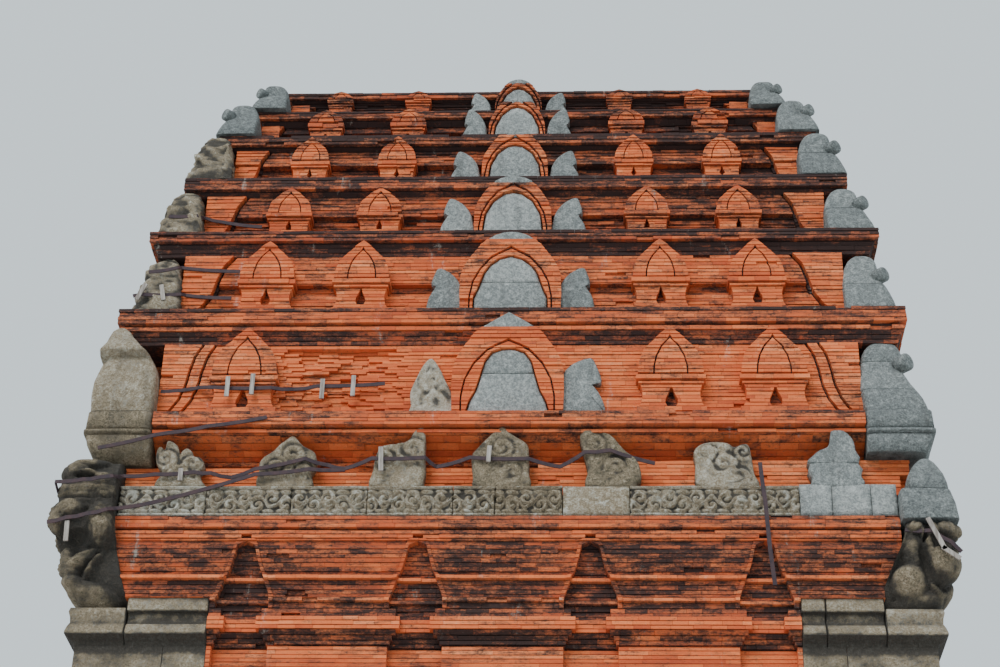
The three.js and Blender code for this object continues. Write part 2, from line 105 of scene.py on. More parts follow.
# Plinth
# Two low courses of worn grey-green stone that carry the whole tower. The blocks are laid dry;
# their joints and pitted faces are in the stone's finish.
class Signal:
    """A socket in a material. Sums and products of signals and numbers add Math nodes."""

    def __init__(self, tree, socket=None):
        self.tree = tree
        self.socket = socket

    def node(self, kind, settings, sockets, output=0):
        made = self.tree.nodes.new(kind)
        for key, value in settings.items():
            if key == "stops":
                elements = made.color_ramp.elements
                while len(elements) < len(value):
                    elements.new(1.0)
                for element, (place, colour) in zip(elements, value):
                    element.position = place
                    element.color = (*colour, 1)
            else:
                setattr(made, key, value)
        for key, value in sockets.items():
            if isinstance(value, Signal):
                self.tree.links.new(value.socket, made.inputs[key])
            else:
                made.inputs[key].default_value = value
        return Signal(self.tree, made.outputs[output])

    def math(self, operation, *values):
        return self.node("ShaderNodeMath", {"operation": operation}, dict(enumerate(values)))

    def __add__(self, other):
        return self.math("ADD", self, other)

    __radd__ = __add__

    def __sub__(self, other):
        return self.math("SUBTRACT", self, other)

    def __rsub__(self, other):
        return self.math("SUBTRACT", other, self)

    def __mul__(self, other):
        return self.math("MULTIPLY", self, other)

    __rmul__ = __mul__

    def step(self, low, high):
        """0 below low, 1 above high and a smooth rise between them."""
        return self.node(
            "ShaderNodeMapRange",
            {"interpolation_type": "SMOOTHSTEP"},
            {"Value": self, "From Min": low, "From Max": high},
        )

    def noise(self, scale, detail=4.0, roughness=0.55):
        """Soft noise from 0 to 1 over this place, at so many lumps a metre."""
        sockets = {"Vector": self, "Scale": scale, "Detail": detail, "Roughness": roughness}
        return self.node("ShaderNodeTexNoise", {}, sockets)

    def stretch(self, x, y, z):
        """This place with its axes scaled."""
        return self.node("ShaderNodeVectorMath", {"operation": "MULTIPLY"}, {0: self, 1: (x, y, z)})

    def ramp(self, *stops):
        """The colour at this value. Each stop is (value, (red, green, blue))."""
        return self.node("ShaderNodeValToRGB", {"stops": stops}, {"Fac": self})

    def towards(self, colour, share):
        """This colour mixed with another one, given as (red, green, blue)."""
        return self.node("ShaderNodeMix", {"data_type": "RGBA"}, {0: share, 6: self, 7: (*colour, 1)}, 2)

    def carried(self, name):
        """The value that the mesh carries under a name."""
        return self.node("ShaderNodeAttribute", {"attribute_name": name}, {}, 2)


SHEEN = 0.25


def new_material(name):
    """A material and the place on the piece in metres, as a signal to start from."""
    material = bpy.data.materials.new(name)
    material.use_nodes = True
    return material, Signal(material.node_tree).node("ShaderNodeTexCoord", {}, {}, 3)


def finish_material(material, colour, rough, relief, relief_height):
    """Links colour, roughness and a bump of the given height in metres to the shader."""
    shader = material.node_tree.nodes["Principled BSDF"]
    shader.inputs["Specular IOR Level"].default_value = SHEEN
    normal = relief.node("ShaderNodeBump", {}, {"Height": relief, "Distance": relief_height})
    for signal, name in ((colour, "Base Color"), (rough, "Roughness"), (normal, "Normal")):
        material.node_tree.links.new(signal.socket, shader.inputs[name])


# the dark colour of growth, which also stands for painted shade in the stones' hollows, and of dirt streaks
STONE_GROWTH_AND_SHADE, STONE_DIRT = (0.030, 0.029, 0.029), (0.05, 0.048, 0.045)
STONE_RELIEF = 0.016


def stone_material(name, dark, mid, light, lichen, lichen_from, growth_and_shade_from, with_tones=True):
    """Pitted granular stone. Pale lichen and dark growth lie where their noises pass the limits. The carried stain
    adds to the dark growth, so it also lays painted shade in hollows and under ledges, and thins the lichen there.
    """
    material, place = new_material(name)
    clouds = place.noise(1.7, 5.0, 0.6)
    grains = place.noise(48, 3.0, 0.8).step(0.36, 0.64)
    pits = place.noise(17, 5.0, 0.75).step(0.34, 0.66)
    if with_tones:
        tone, hollow = place.carried("tone"), place.carried("stain")
    else:
        tone, hollow = clouds, clouds * 0.3
    shade = clouds * 0.20 + tone * 0.36 + pits * 0.22 + grains * 0.22
    body = shade.ramp((0.18, dark), (0.48, mid), (0.80, light))
    # the carried stain darkens hollows and undersides as painted shade, on top of the growth noise
    growth_and_shade = (place.noise(3.1, 7.0, 0.7) - 0.5) * 1.8 + (pits - 0.5) * 0.3 + (grains - 0.5) * 0.2 + hollow
    blotches = place.noise(7.0, 7.0, 0.75) + (tone - 0.5) * 0.12 - hollow * 0.15
    spots = blotches.step(lichen_from, lichen_from + 0.05)
    streaks = place.stretch(5.0, 5.0, 0.6).noise(1.0, 5.0, 0.6).step(0.54, 0.72)
    spotted = body.towards(lichen, spots * 0.7)
    grown = spotted.towards(STONE_GROWTH_AND_SHADE, growth_and_shade.step(growth_and_shade_from, growth_and_shade_from + 0.6) * 0.88)
    dirty = grown.towards(STONE_DIRT, streaks * 0.35)
    finish_material(material, dirty, 0.82 + 0.14 * pits, pits * 0.7 + grains * 0.3, STONE_RELIEF)
    return material


OLD_STONE = {
    "dark": (0.075, 0.068, 0.045), "mid": (0.32, 0.255, 0.17), "light": (0.62, 0.585, 0.49),
    "lichen": (0.66, 0.66, 0.58), "lichen_from": 0.60, "growth_and_shade_from": 0.20,
}
NEW_STONE = {
    "dark": (0.085, 0.095, 0.095), "mid": (0.25, 0.273, 0.267), "light": (0.54, 0.565, 0.545),
    "lichen": (0.52, 0.53, 0.49), "lichen_from": 0.66, "growth_and_shade_from": 0.42,
}
old_stone = stone_material("old_stone", **OLD_STONE)
new_stone = stone_material("new_stone", **NEW_STONE)
plain_stone = stone_material("plain_stone", **OLD_STONE, with_tones=False)


def dress(node, material):
    """Gives a node of the model its material."""
    piece = bpy.data.objects[node]
    piece.data.materials.clear()
    piece.data.materials.append(material)


dress("stone_plinth", plain_stone)

# Walls
# Fired bricks rubbed together with hardly any mortar, in courses of 4.7 cm. Each brick is its own
# block in front of the solid wall, with tones from the kiln, worn faces and a few lost pieces.
COURSE = 0.047
BED_JOINT = (0.0016, 0.0068)
END_JOINT = 0.0013
UNDERSIDE_SHARE = 0.28
FLOOR = 0.40
WALL_HALF, WALL_TOP = 4.535, 10.40
PLASTER = 0.012
WALL_BRICKS = (0.33, 0.47)
ROOF_BRICKS = (0.16, 0.25)
DOOR_HALF, DOOR_HEAD = 0.75, 3.00
GABLE_HALF, GABLE_FRONT, GABLE_BACK = 1.45, 4.985, 4.405
STRIPS = [(-3.09, -2.49), (-1.22, -0.64), (0.64, 1.22), (2.49, 3.09)]
STRIP_DEPTH = 0.10
# stones at the head of the corner pilasters: edges from the middle out, foot, and stain up the face, which turns
# black at the top as painted shade under the cornice
PILASTER_STONES = [(3.14, 3.60), (3.60, None)]
PILASTER_STONE_FOOT = 9.92
PILASTER_STAINS_AND_SHADE = [
    (PILASTER_STONE_FOOT, 0.3), (10.22, 0.35), (10.29, 0.5), (10.34, 1.0), (WALL_TOP - 0.0003, 1.3),
]
PILASTER_GAP, PILASTER_EDGE = 0.0008, 0.006
STONE_GAP, STONE_EDGE, STONE_END_STAIN = 0.004, 0.012, 0.6
# anything past this distance from the middle lies outside the tower
OUTSIDE = 6
# how near two heights count as one, and how near to a bed joint a course's depth is measured
NEAR_LEVEL, HAIR = 0.001, 0.0001
SIDES = ["front", "right", "back", "left"]
BRICK_FACES = np.array([(0, 1, 2, 3), (4, 5, 1, 0), (3, 2, 6, 7), (0, 3, 7, 4), (1, 5, 6, 2)])


def on_side(points, side):
    """Turns points given as (across, out, up) on a face of the tower into the tower's frame."""
    across, out, up = np.asarray(points, dtype=float).T
    x, y = across, -out
    for _ in range(side):
        x, y = -y, x
    return np.stack([x, y, up], axis=1)


def add_piece(name, points, faces, material, smooth=False, tones=None, domain="FACE"):
    """Makes a mesh that is part of the tower. tones holds [tone, stain] for each face or point; the stain carries
    real soot and also painted shade on undersides, grooves and hollows, and lighter values as painted highlights on
    raised carving.
    """
    mesh = bpy.data.meshes.new(name)
    if isinstance(faces, np.ndarray):
        mesh.vertices.add(len(points))
        mesh.vertices.foreach_set("co", np.asarray(points, dtype=np.float32).ravel())
        mesh.loops.add(faces.size)
        mesh.loops.foreach_set("vertex_index", faces.ravel().astype(np.int32))
        mesh.polygons.add(len(faces))
        mesh.polygons.foreach_set("loop_start", np.arange(0, faces.size, faces.shape[1], dtype=np.int32))
        mesh.update(calc_edges=True)
    else:
        mesh.from_pydata([tuple(p) for p in points], [], faces)
    mesh.validate()
    if tones is not None:
        for column, label in enumerate(("tone", "stain")):
            values = mesh.attributes.new(label, "FLOAT", domain)
            values.data.foreach_set("value", np.ascontiguousarray(tones[:, column], dtype=np.float32))
    mesh.polygons.foreach_set("use_smooth", [smooth] * len(mesh.polygons))
    mesh.materials.append(material)
    piece = bpy.data.objects.new(name, mesh)
    bpy.context.scene.collection.objects.link(piece)
    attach(piece, "root")
    return piece


def depth_at(profile, height):
    """How far out a moulding's face lies at a height. profile holds (height, out) points."""
    for (low, out_low), (high, out_high) in zip(profile, profile[1:]):
        if low <= height <= high and high > low:
            return out_low + (out_high - out_low) * (height - low) / (high - low)
    return profile[-1][1]


def course_fronts(profile, bed, top):
    """Depths of a course's foot and head on a profile that may step at its bed joints."""
    return depth_at(profile, bed + HAIR), depth_at(profile, top - HAIR)


def curve(start, end, bend, count=6):
    """A moulding's curved stretch between two (height, out) points. bend 1 is hollow, -1 is full."""
    points = []
    for i in range(count + 1):
        share = i / count
        out = 1 - math.cos(share * math.pi / 2) if bend > 0 else math.sin(share * math.pi / 2)
        points.append((start[0] + (end[0] - start[0]) * share, start[1] + (end[1] - start[1]) * out))
    return points


def bed_levels(levels, course=COURSE):
    """Heights of the bed joints, one course apart, that meet each of the given levels."""
    levels = sorted(set(round(level, 4) for level in levels))
    beds = [levels[0]]
    for low, high in zip(levels, levels[1:]):
        count = max(1, round((high - low) / course))
        beds += [low + (high - low) * (i + 1) / count for i in range(count)]
    return beds


def crossings(outline, height):
    """Where a level cuts a closed outline, from left to right."""
    found = []
    for (xa, za), (xb, zb) in zip(outline, outline[1:] + outline[:1]):
        if (za <= height) != (zb <= height):
            found.append(xa + (xb - xa) * (height - za) / (zb - za))
    return sorted(found)


class Carving:
    """An outline on a face inside which the bricks' fronts stand at another depth.

    out is the depth from the tower's axis, or a profile, or None where no bricks are laid.
    """

    def __init__(self, outline, out, stain=0.1):
        self.outline = [(float(x), float(z)) for x, z in outline]
        self.low = min(z for _, z in self.outline)
        self.high = max(z for _, z in self.outline)
        self.out = out
        self.stain = stain

    def spans(self, bed, top):
        """Pairs of edges in a course. An edge is (middle, bottom, top, at the corner)."""
        middle = crossings(self.outline, (bed + top) / 2)
        bottom = crossings(self.outline, max(bed, self.low) + HAIR)
        upper = crossings(self.outline, min(top, self.high) - HAIR)
        bottom = bottom if len(bottom) == len(middle) else middle
        upper = upper if len(upper) == len(middle) else middle
        edges = [(m, b, t, False) for m, b, t in zip(middle, bottom, upper)]
        return list(zip(edges[::2], edges[1::2]))

    def fronts(self, bed, top):
        if self.out is None:
            return None
        if isinstance(self.out, list):
            return course_fronts(self.out, bed, top)
        return self.out, self.out


def carve(cells, start, end, fronts, stain):
    """Lays one span of a carving over the cells of a course."""
    result = []
    for left, right, old_fronts, old_stain_and_shade in cells:
        first, last = max(left, start), min(right, end)
        if first[0] >= last[0] - HAIR:
            result.append((left, right, old_fronts, old_stain_and_shade))
            continue
        if left[0] < first[0]:
            result.append((left, first, old_fronts, old_stain_and_shade))
        result.append((first, last, fronts, stain))
        if last[0] < right[0]:
            result.append((last, right, old_fronts, old_stain_and_shade))
    return result


SHORTEST_BRICK = 0.03
CHIP_DEPTH = (0.012, 0.03)
STAIN_SPREAD = 0.34


class Brickwork:
    """The bricks of one piece. Faces are numbered from the front one, counterclockwise from above."""

    def __init__(self, lengths=ROOF_BRICKS, push=0.0035, chipped=0.012, lost=0.0):
        self.blocks = []
        self.tones = []
        self.lengths = lengths
        self.push = push
        self.chipped = chipped
        self.lost = lost

    def block(self, left, right, bed, top, joint, fronts, back, tone, stain):
        """One brick. left and right are edges; an edge at the corner is mitred and has no joint."""
        (_, left_low, left_high, left_corner), (_, right_low, right_high, right_corner) = left, right
        low, high = fronts
        backs = [left_low, right_low, right_high, left_high]
        if left_corner:
            left_low, left_high = -low, -high
            backs[0] = backs[3] = -back
        else:
            left_low, left_high = left_low + END_JOINT, left_high + END_JOINT
        if right_corner:
            right_low, right_high = low, high
            backs[1] = backs[2] = back
        else:
            right_low, right_high = right_low - END_JOINT, right_high - END_JOINT
        self.blocks.append([
            (left_low, low, bed + joint), (right_low, low, bed + joint),
            (right_high, high, top - joint), (left_high, high, top - joint),
            (backs[0], back, bed), (backs[1], back, bed), (backs[2], back, top), (backs[3], back, top),
        ])
        self.tones.append((tone, stain))

    def course(self, bed, top, fronts, stain, back, stop=None, carvings=(), wear=None):
        """Lays one course from corner to corner, or from -stop to stop."""
        half = stop if stop else max(fronts)
        middle = stop if stop else sum(fronts) / 2
        cells = [((-middle, -half, -half, not stop), (middle, half, half, not stop), fronts, stain)]
        for carving in carvings:
            if carving.low < (bed + top) / 2 < carving.high:
                for start, end in carving.spans(bed, top):
                    cells = carve(cells, start, end, carving.fronts(bed, top), carving.stain)
        joints = [-half - dice.random() * self.lengths[1]]
        while joints[-1] < half:
            joints.append(joints[-1] + dice.uniform(*self.lengths))
        joint = dice.uniform(*BED_JOINT)
        course_tone = dice.random()
        course_push = dice.gauss(0, self.push)
        looks = [(dice.random(), dice.gauss(0, self.push), dice.random(), dice.random()) for _ in joints]
        for left, right, cell_fronts, cell_stain_and_shade in cells:
            if cell_fronts is None:
                continue
            cuts = [x for x in joints if left[0] + SHORTEST_BRICK < x < right[0] - SHORTEST_BRICK]
            edges = [left] + [(x, x, x, False) for x in cuts] + [right]
            for start, end in zip(edges, edges[1:]):
                across = (start[0] + end[0]) / 2
                tone, push, luck, roll = looks[bisect.bisect(joints, across) - 1]
                if luck < self.lost:
                    continue
                push = 0.5 * push + course_push
                if luck < self.lost + self.chipped:
                    push -= CHIP_DEPTH[0] + CHIP_DEPTH[1] * roll
                if wear:
                    push -= wear(across, (bed + top) / 2, tone)
                worn = (cell_fronts[0] + push, cell_fronts[1] + push - 0.004 * tone)
                blend = 0.5 * tone + 0.5 * course_tone
                spread = STAIN_SPREAD * (roll - 0.5)
                self.block(start, end, bed, top, joint, worn, back, blend, cell_stain_and_shade + spread)

    def build(self, name, side, material, finish):
        """Turns the bricks into one piece on the given face of the tower."""
        blocks = np.array(self.blocks)
        count = len(blocks)
        points = on_side(blocks.reshape(-1, 3), side)
        faces = (BRICK_FACES[None] + 8 * np.arange(count)[:, None, None]).reshape(-1, 4)
        tones = np.repeat(np.array(self.tones), len(BRICK_FACES), axis=0)
        piece = add_piece(name, points, faces, material, tones=tones)
        self.unfold(piece, blocks, faces)
        return piece

    def unfold(self, piece, blocks, faces):
        """A map for the finish: each course is a strip, its faces over its undersides."""
        beds = sorted({round(float(bed), 4) for bed in blocks[:, 4, 2]})
        rows = np.array([beds.index(round(float(bed), 4)) for bed in blocks[:, 4, 2]])
        across = (blocks[:, :, 0] - blocks[:, :, 0].min()) / np.ptp(blocks[:, :, 0])
        shares = np.array([UNDERSIDE_SHARE, UNDERSIDE_SHARE, 1, 1, 0, 0, 1, 1]) * 0.96 + 0.02
        up = (rows[:, None] + shares[None]) / len(beds)
        flat = np.stack([across.ravel(), up.ravel()], axis=1)
        unfolded = piece.data.uv_layers.new(name="OFBake")
        # the mesh check drops a brick cut to nothing, and the piece then does without its map
        if len(unfolded.data) == faces.size:
            unfolded.data.foreach_set("uv", flat[faces.ravel()].astype(np.float32).ravel())


KILN_COLOURS = [
    (0.10, (0.38, 0.062, 0.028)), (0.34, (0.60, 0.118, 0.040)), (0.60, (0.82, 0.200, 0.065)),
    (0.90, (0.93, 0.34, 0.150)),
]
# brown and black for grime; the black also stands for painted shade where the stain is high
BROWN, SOOT_AND_SHADE = (0.150, 0.062, 0.040), (0.024, 0.019, 0.020)
PIT, SALT = (0.06, 0.030, 0.022), (0.62, 0.57, 0.50)
BRICK_RELIEF = 0.012


def brick_material(name, with_tones):
    """Kiln tones brick by brick, soot in strokes along the courses, pale salts and fine pits. The carried stain also
    browns and blackens undersides, grooves and recesses as painted shade.
    """
    material, place = new_material(name)
    patches = place.noise(0.8, 5.0, 0.6)
    strokes = place.stretch(3.4, 3.4, 15.0).noise(1.0, 8.0, 0.78)
    speckle = place.stretch(30, 30, 48).noise(1.0, 5.0, 0.75)
    grain = place.noise(110, 3.0, 0.7)
    if with_tones:
        tone, stain = place.carried("tone"), place.carried("stain")
    else:
        courses = place.node("ShaderNodeSeparateXYZ", {}, {0: place}, 2) * (1 / COURSE)
        in_course = courses.math("FRACT", courses)
        joint = in_course.math("ABSOLUTE", in_course - 0.5).step(0.40, 0.48)
        tone = place.noise(8.0, 2.0, 0.5)
        stain = 0.25 + joint * 0.5
    kiln = tone * 0.55 + (patches - 0.5) * 0.7 + (speckle - 0.5) * 0.6 + 0.225
    clouds = (patches - 0.5) * 1.3 + (strokes - 0.5) * 2.4 + (speckle - 0.5) * 1.3
    # the grime mask takes the carried stain, so besides soot it lays painted shade on undersides, grooves and
    # recesses
    grime_and_shade = stain + clouds + (tone - 0.5) * 0.25
    browned_and_shaded = kiln.ramp(*KILN_COLOURS).towards(BROWN, grime_and_shade.step(0.08, 0.75) * 0.80)
    sooty_and_shaded = browned_and_shaded.towards(SOOT_AND_SHADE, grime_and_shade.step(0.46, 1.00) * 0.93)
    pitted = sooty_and_shaded.towards(PIT, speckle.step(0.56, 0.70) * 0.55)
    streaks = place.stretch(5.0, 5.0, 0.9).noise(1.0, 7.0, 0.7)
    salt = (streaks * 0.75 + speckle * 0.25).step(0.59, 0.69)
    salted = pitted.towards(SALT, salt * 0.45)
    finish_material(material, salted, 0.86 + 0.1 * speckle, speckle * 0.6 + grain * 0.4, BRICK_RELIEF)
    return material


brick_face = brick_material("brick_face", True)
brick_core = brick_material("brick_core", False)

FOOT = [
    (0.0003, 0.22), (0.26, 0.22), (0.30, 0.15), (0.42, 0.19), (0.56, 0.19), (0.64, 0.09),
    (0.76, 0.09), (0.82, 0.0),
]
wall_profile = [(FLOOR + up, WALL_HALF + out) for up, out in FOOT] + [(WALL_TOP, WALL_HALF)]
GABLE_OUTLINE = [
    (1.45, FLOOR), (1.45, FLOOR + 2.90), (1.305, FLOOR + 2.96), (1.19, FLOOR + 3.60), (0.725, FLOOR + 4.25),
    (0, FLOOR + 4.90),
]


def both_hands(right_half):
    """A closed outline from its right half, listed from the foot up."""
    left = [(-x, z) for x, z in reversed(right_half) if x > 0]
    return right_half + left


def rectangle(a, b, foot, head):
    left, right = sorted((a, b))
    return [(left, foot), (right, foot), (right, head), (left, head)]


class Stonework:
    """The dressed stones of one piece, each closed, on one face of the tower."""

    def __init__(self):
        self.points = []
        self.faces = []
        self.tones = []

    def add(self, points, faces, tone, hollows):
        self.faces += [tuple(i + len(self.points) for i in face) for face in faces]
        self.points += [tuple(point) for point in points]
        self.tones += [(tone, hollow) for hollow in hollows]

    def build(self, name, side, material, finish, smooth=True):
        points, tones = on_side(self.points, side), np.array(self.tones)
        return add_piece(name, points, self.faces, material, smooth, tones, "POINT")


def closed_tube(ring, rows, outward=True):
    """Faces that join rows of points, each a closed ring, and close the first and the last row."""
    last = (rows - 1) * ring
    faces = [tuple(range(ring - 1, -1, -1)), tuple(range(last, last + ring))]
    if not outward:
        faces = [face[::-1] for face in faces]
    for row in range(rows - 1):
        for k in range(ring):
            a, b = row * ring + k, row * ring + (k + 1) % ring
            faces.append((a, b, b + ring, a + ring) if outward else (a, a + ring, b + ring, b))
    return faces


def moulded_stone(hand, near, far, profile, back, gap=STONE_GAP, edge=STONE_EDGE):
    """A dressed stone from near to far of the middle, or to the corner's mitre if far is None."""
    rows = [(back, profile[0][0], STONE_END_STAIN)] + [(out, up, stain) for up, out, stain in profile]
    rows.append((back, profile[-1][0], STONE_END_STAIN))
    ends = [(near + gap, edge), (near + gap + edge, 0)]
    if far:
        ends += [(far - gap - edge, 0), (far - gap, edge)]
    else:
        ends.append((None, 0))
    points, stains_and_shades = [], []
    for end, worn in ends:
        for out, up, stain in rows:
            out = out - worn if out > back else out
            points.append((hand * (out if end is None else end), out, up))
            stains_and_shades.append(stain + (STONE_END_STAIN if worn else 0))
    faces = closed_tube(len(rows), len(ends))
    if hand > 0:
        faces = [face[::-1] for face in faces]
    return points, faces, dice.uniform(0.25, 0.6), stains_and_shades


for side, side_name in enumerate(SIDES):
    bricks = Brickwork(WALL_BRICKS, push=0.003, chipped=0.006)
    beds = bed_levels([z for z, _ in wall_profile] + [PILASTER_STONE_FOOT])
    opening = Carving(both_hands(GABLE_OUTLINE), None)
    capitals = [
        Carving(rectangle(hand * PILASTER_STONES[0][0], hand * OUTSIDE, PILASTER_STONE_FOOT, WALL_TOP), None)
        for hand in (-1, 1)
    ]
    for bed, top in zip(beds, beds[1:]):
        fronts = [out + PLASTER for out in course_fronts(wall_profile, bed, top)]
        grown = max(0, fronts[0] - WALL_HALF - PLASTER)
        # the recessed strips carry a stain of 0.3, darker than most of the wall, as painted shade in the recess
        strips = [
            Carving(
                rectangle(a + grown, b - grown, FLOOR, WALL_TOP),
                [(bed, fronts[0] - STRIP_DEPTH), (top, fronts[1] - STRIP_DEPTH)], 0.3,
            )
            for a, b in STRIPS
        ]
        height = (bed - FLOOR) / (WALL_TOP - FLOOR)
        # darker towards the foot; the top twelfth, under the cornice, is darkened as painted shade
        stain = 0.10 + 0.35 * max(0, 1 - height * 8) + 0.2 * max(0, height * 12 - 11)
        back = fronts[0] - STRIP_DEPTH - 2 * PLASTER
        bricks.course(bed, top, fronts, stain, back, None, [*strips, opening, *capitals])
    bricks.build(f"wall_bricks_{side_name}", side, brick_face, "brick")
    stones = Stonework()
    profile = [(up, WALL_HALF + PLASTER, stain) for up, stain in PILASTER_STAINS_AND_SHADE]
    back = WALL_HALF - STRIP_DEPTH
    for hand in (-1, 1):
        for near, far in PILASTER_STONES:
            stones.add(*moulded_stone(hand, near, far, profile, back, PILASTER_GAP, PILASTER_EDGE))
    stones.build(f"pilaster_stones_{side_name}", side, old_stone, "old_stone", False)
for wall in (
    "front_wall_left", "front_wall_right", "front_wall_over_door", "back_wall", "left_wall", "right_wall",
):
    dress(wall, brick_core)

# Doorway and false doors
# A tall pointed gable of brick stands before the middle of each face. The front one frames the
# way in, lined with stone posts and a lintel; the other three close on a carved brick panel.
PANEL_FRONT = 4.80
PILASTER_IN = 0.98
CAPITAL = (2.62, 2.96)
# share of the arch's size and depth, from the second band in
ARCH_BANDS = [(0.92, 4.90), (0.84, 4.965), (0.70, 4.83), (0.64, 4.88)]
# sunk panels of the pilasters: edges from the middle out, foot and head over the floor, depth
PILASTER_PANELS = [(1.08, 1.34, 0.50, 1.40, 0.04), (1.08, 1.34, 1.50, 2.45, 0.04)]
# grooves along the capitals: foot and head over the floor, depth
CAPITAL_GROOVES = [(CAPITAL[0], CAPITAL[0] + 0.05, 0.03), (CAPITAL[0] + 0.17, CAPITAL[0] + 0.21, 0.04)]
# a false door's leaf: edges from the middle out, and how far it stays from floor and head
LEAF, LEAF_MARGIN, LEAF_DEPTH = (0.12, 0.62), 0.15, 0.05
DOOR_STAIN = 0.22


def shrunk(outline, share, foot):
    """A half outline drawn in towards the middle of its foot."""
    return [(x * share, foot + (z - foot) * share) for x, z in outline]


arch_foot = FLOOR + CAPITAL[1]
arch_outline = [
    (1.30, arch_foot), (1.27, FLOOR + 3.40), (1.08, FLOOR + 3.85), (0.66, FLOOR + 4.28), (0, FLOOR + 4.78),
]
for side, side_name in enumerate(SIDES):
    bricks = Brickwork(WALL_BRICKS, push=0.003, chipped=0.006)
    carvings = [Carving(both_hands(GABLE_OUTLINE), GABLE_FRONT, DOOR_STAIN)]
    for share, out in ARCH_BANDS:
        carvings.append(Carving(both_hands(shrunk(arch_outline, share, arch_foot)), out, DOOR_STAIN))
    for hand in (-1, 1):
        post = rectangle(hand * DOOR_HALF, hand * PILASTER_IN, FLOOR, FLOOR + CAPITAL[0])
        # the set-back posts are a little darker, as painted shade
        carvings.append(Carving(post, GABLE_FRONT - 0.10, DOOR_STAIN + 0.1))
        for near, far, foot, head, sink in PILASTER_PANELS:
            panel = rectangle(hand * near, hand * far, FLOOR + foot, FLOOR + head)
            carvings.append(Carving(panel, GABLE_FRONT - sink, DOOR_STAIN))
    # the capital grooves are painted dark as shade
    for foot, head, sink in CAPITAL_GROOVES:
        groove = rectangle(-GABLE_HALF, GABLE_HALF, FLOOR + foot, FLOOR + head)
        carvings.append(Carving(groove, GABLE_FRONT - sink, 0.6))
    opening = rectangle(-DOOR_HALF, DOOR_HALF, FLOOR, DOOR_HEAD)
    # the sunk panel of a false door and its leaves are darker, as painted shade in the recess
    carvings.append(Carving(opening, None if side == 0 else PANEL_FRONT, 0.35))
    if side:
        for hand in (-1, 1):
            leaf = rectangle(hand * LEAF[0], hand * LEAF[1], FLOOR + LEAF_MARGIN, DOOR_HEAD - LEAF_MARGIN)
            carvings.append(Carving(leaf, PANEL_FRONT - LEAF_DEPTH, 0.4))
    levels = [z for _, z in GABLE_OUTLINE]
    levels += [DOOR_HEAD, FLOOR + CAPITAL[0], FLOOR + CAPITAL[0] + 0.05, arch_foot]
    beds = bed_levels(levels)
    for bed, top in zip(beds, beds[1:]):
        bricks.course(bed, top, None, DOOR_STAIN, GABLE_BACK, GABLE_HALF + 0.01, carvings)
    doorway = bricks.build(f"doorway_bricks_{side_name}", side, brick_face, "brick")
    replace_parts(doorway, "doorway_gable" if side == 0 else f"false_door_{side_name}")
for stone in ("door_jamb_left", "door_jamb_right", "door_lintel"):
    dress(stone, plain_stone)

# Main cornice
# Corbelled courses over the walls, cut into fillets, a torus and a great swelling moulding. Lime
# has run out of it in pale streaks; the hollows and undersides are painted black, lichen and shade together.
CORNICE_TOP = 11.865
SEAT_HALF, SEAT_BOTTOM = 4.25, 10.80
CORE_HALF = 4.24
VAULT_BOTTOM, VAULT_TOP = (10.40, 2.50), (18.49, 0.30)
CORNICE = [
    (0.00, 0.015), *curve((0.01, 0.02), (0.148, 0.115), 1, 3), (0.148, 0.130), (0.297, 0.130), (0.297, 0.080),
    (0.470, 0.085), (0.470, 0.132), (0.520, 0.132), (0.520, 0.070), (0.725, 0.090),
    (0.725, 0.137), (0.775, 0.137),
    (0.775, 0.060), *curve((0.785, 0.065), (1.160, 0.160), -1, 8), (1.160, 0.180), (1.180, 0.180),
    (1.180, 0.187),
    (1.280, 0.187), (1.280, 0.140), (1.303, 0.140), (1.303, 0.210), (1.448, 0.210),
    (1.448, 0.180), (1.465, 0.180),
]
# stain up the moulding, darkest on its undersides and in its hollows, where it is painted shade as well as lichen
CORNICE_STAINS_AND_SHADE = [
    (0.0, 0.75), (0.147, 0.62), (0.149, -0.05), (0.290, 0.08), (0.298, 0.62), (0.469, 0.80), (0.471, 0.36),
    (0.519, 0.42), (0.521, 0.62), (0.724, 0.70), (0.726, 0.20), (0.774, 0.22), (0.776, 0.60), (1.159, 0.72),
    (1.161, 0.35), (1.279, 0.50), (1.281, 1.00), (1.302, 1.00), (1.304, 0.44), (1.447, 0.56), (1.449, 1.0),
]
# height, inner edge and outer edge of the carved stone on each face
OLD_BEAST = [
    (10.803, 4.02, 4.50), (10.885, 4.04, 4.585), (10.975, 4.06, 4.675), (11.08, 4.10, 4.745),
    (11.20, 4.137, 4.785),
    (11.35, 4.17, 4.80), (11.42, 4.19, 4.81), (11.50, 4.205, 4.86), (11.57, 4.21, 4.91), (11.66, 4.23, 4.94),
    (11.80, 4.245, 4.945), (11.94, 4.262, 4.925), (12.14, 4.262, 4.92), (12.31, 4.262, 4.90),
    (12.42, 4.262, 4.87),
    (12.50, 4.262, 4.82), (12.556, 4.262, 4.70),
]
CUT_BEAST = [
    (10.803, 4.02, 4.61), (10.90, 4.03, 4.66), (11.05, 4.036, 4.73), (11.17, 4.09, 4.80),
    (11.29, 4.15, 4.825),
    (11.41, 4.208, 4.84), (11.60, 4.278, 4.868), (11.745, 4.30, 4.85),
]


def vault_half(height):
    (low, wide), (high, narrow) = VAULT_BOTTOM, VAULT_TOP
    return wide + (narrow - wide) * (height - low) / (high - low)


def square_ring(half, height):
    return [(-half, -half, height), (half, -half, height), (half, half, height), (-half, half, height)]


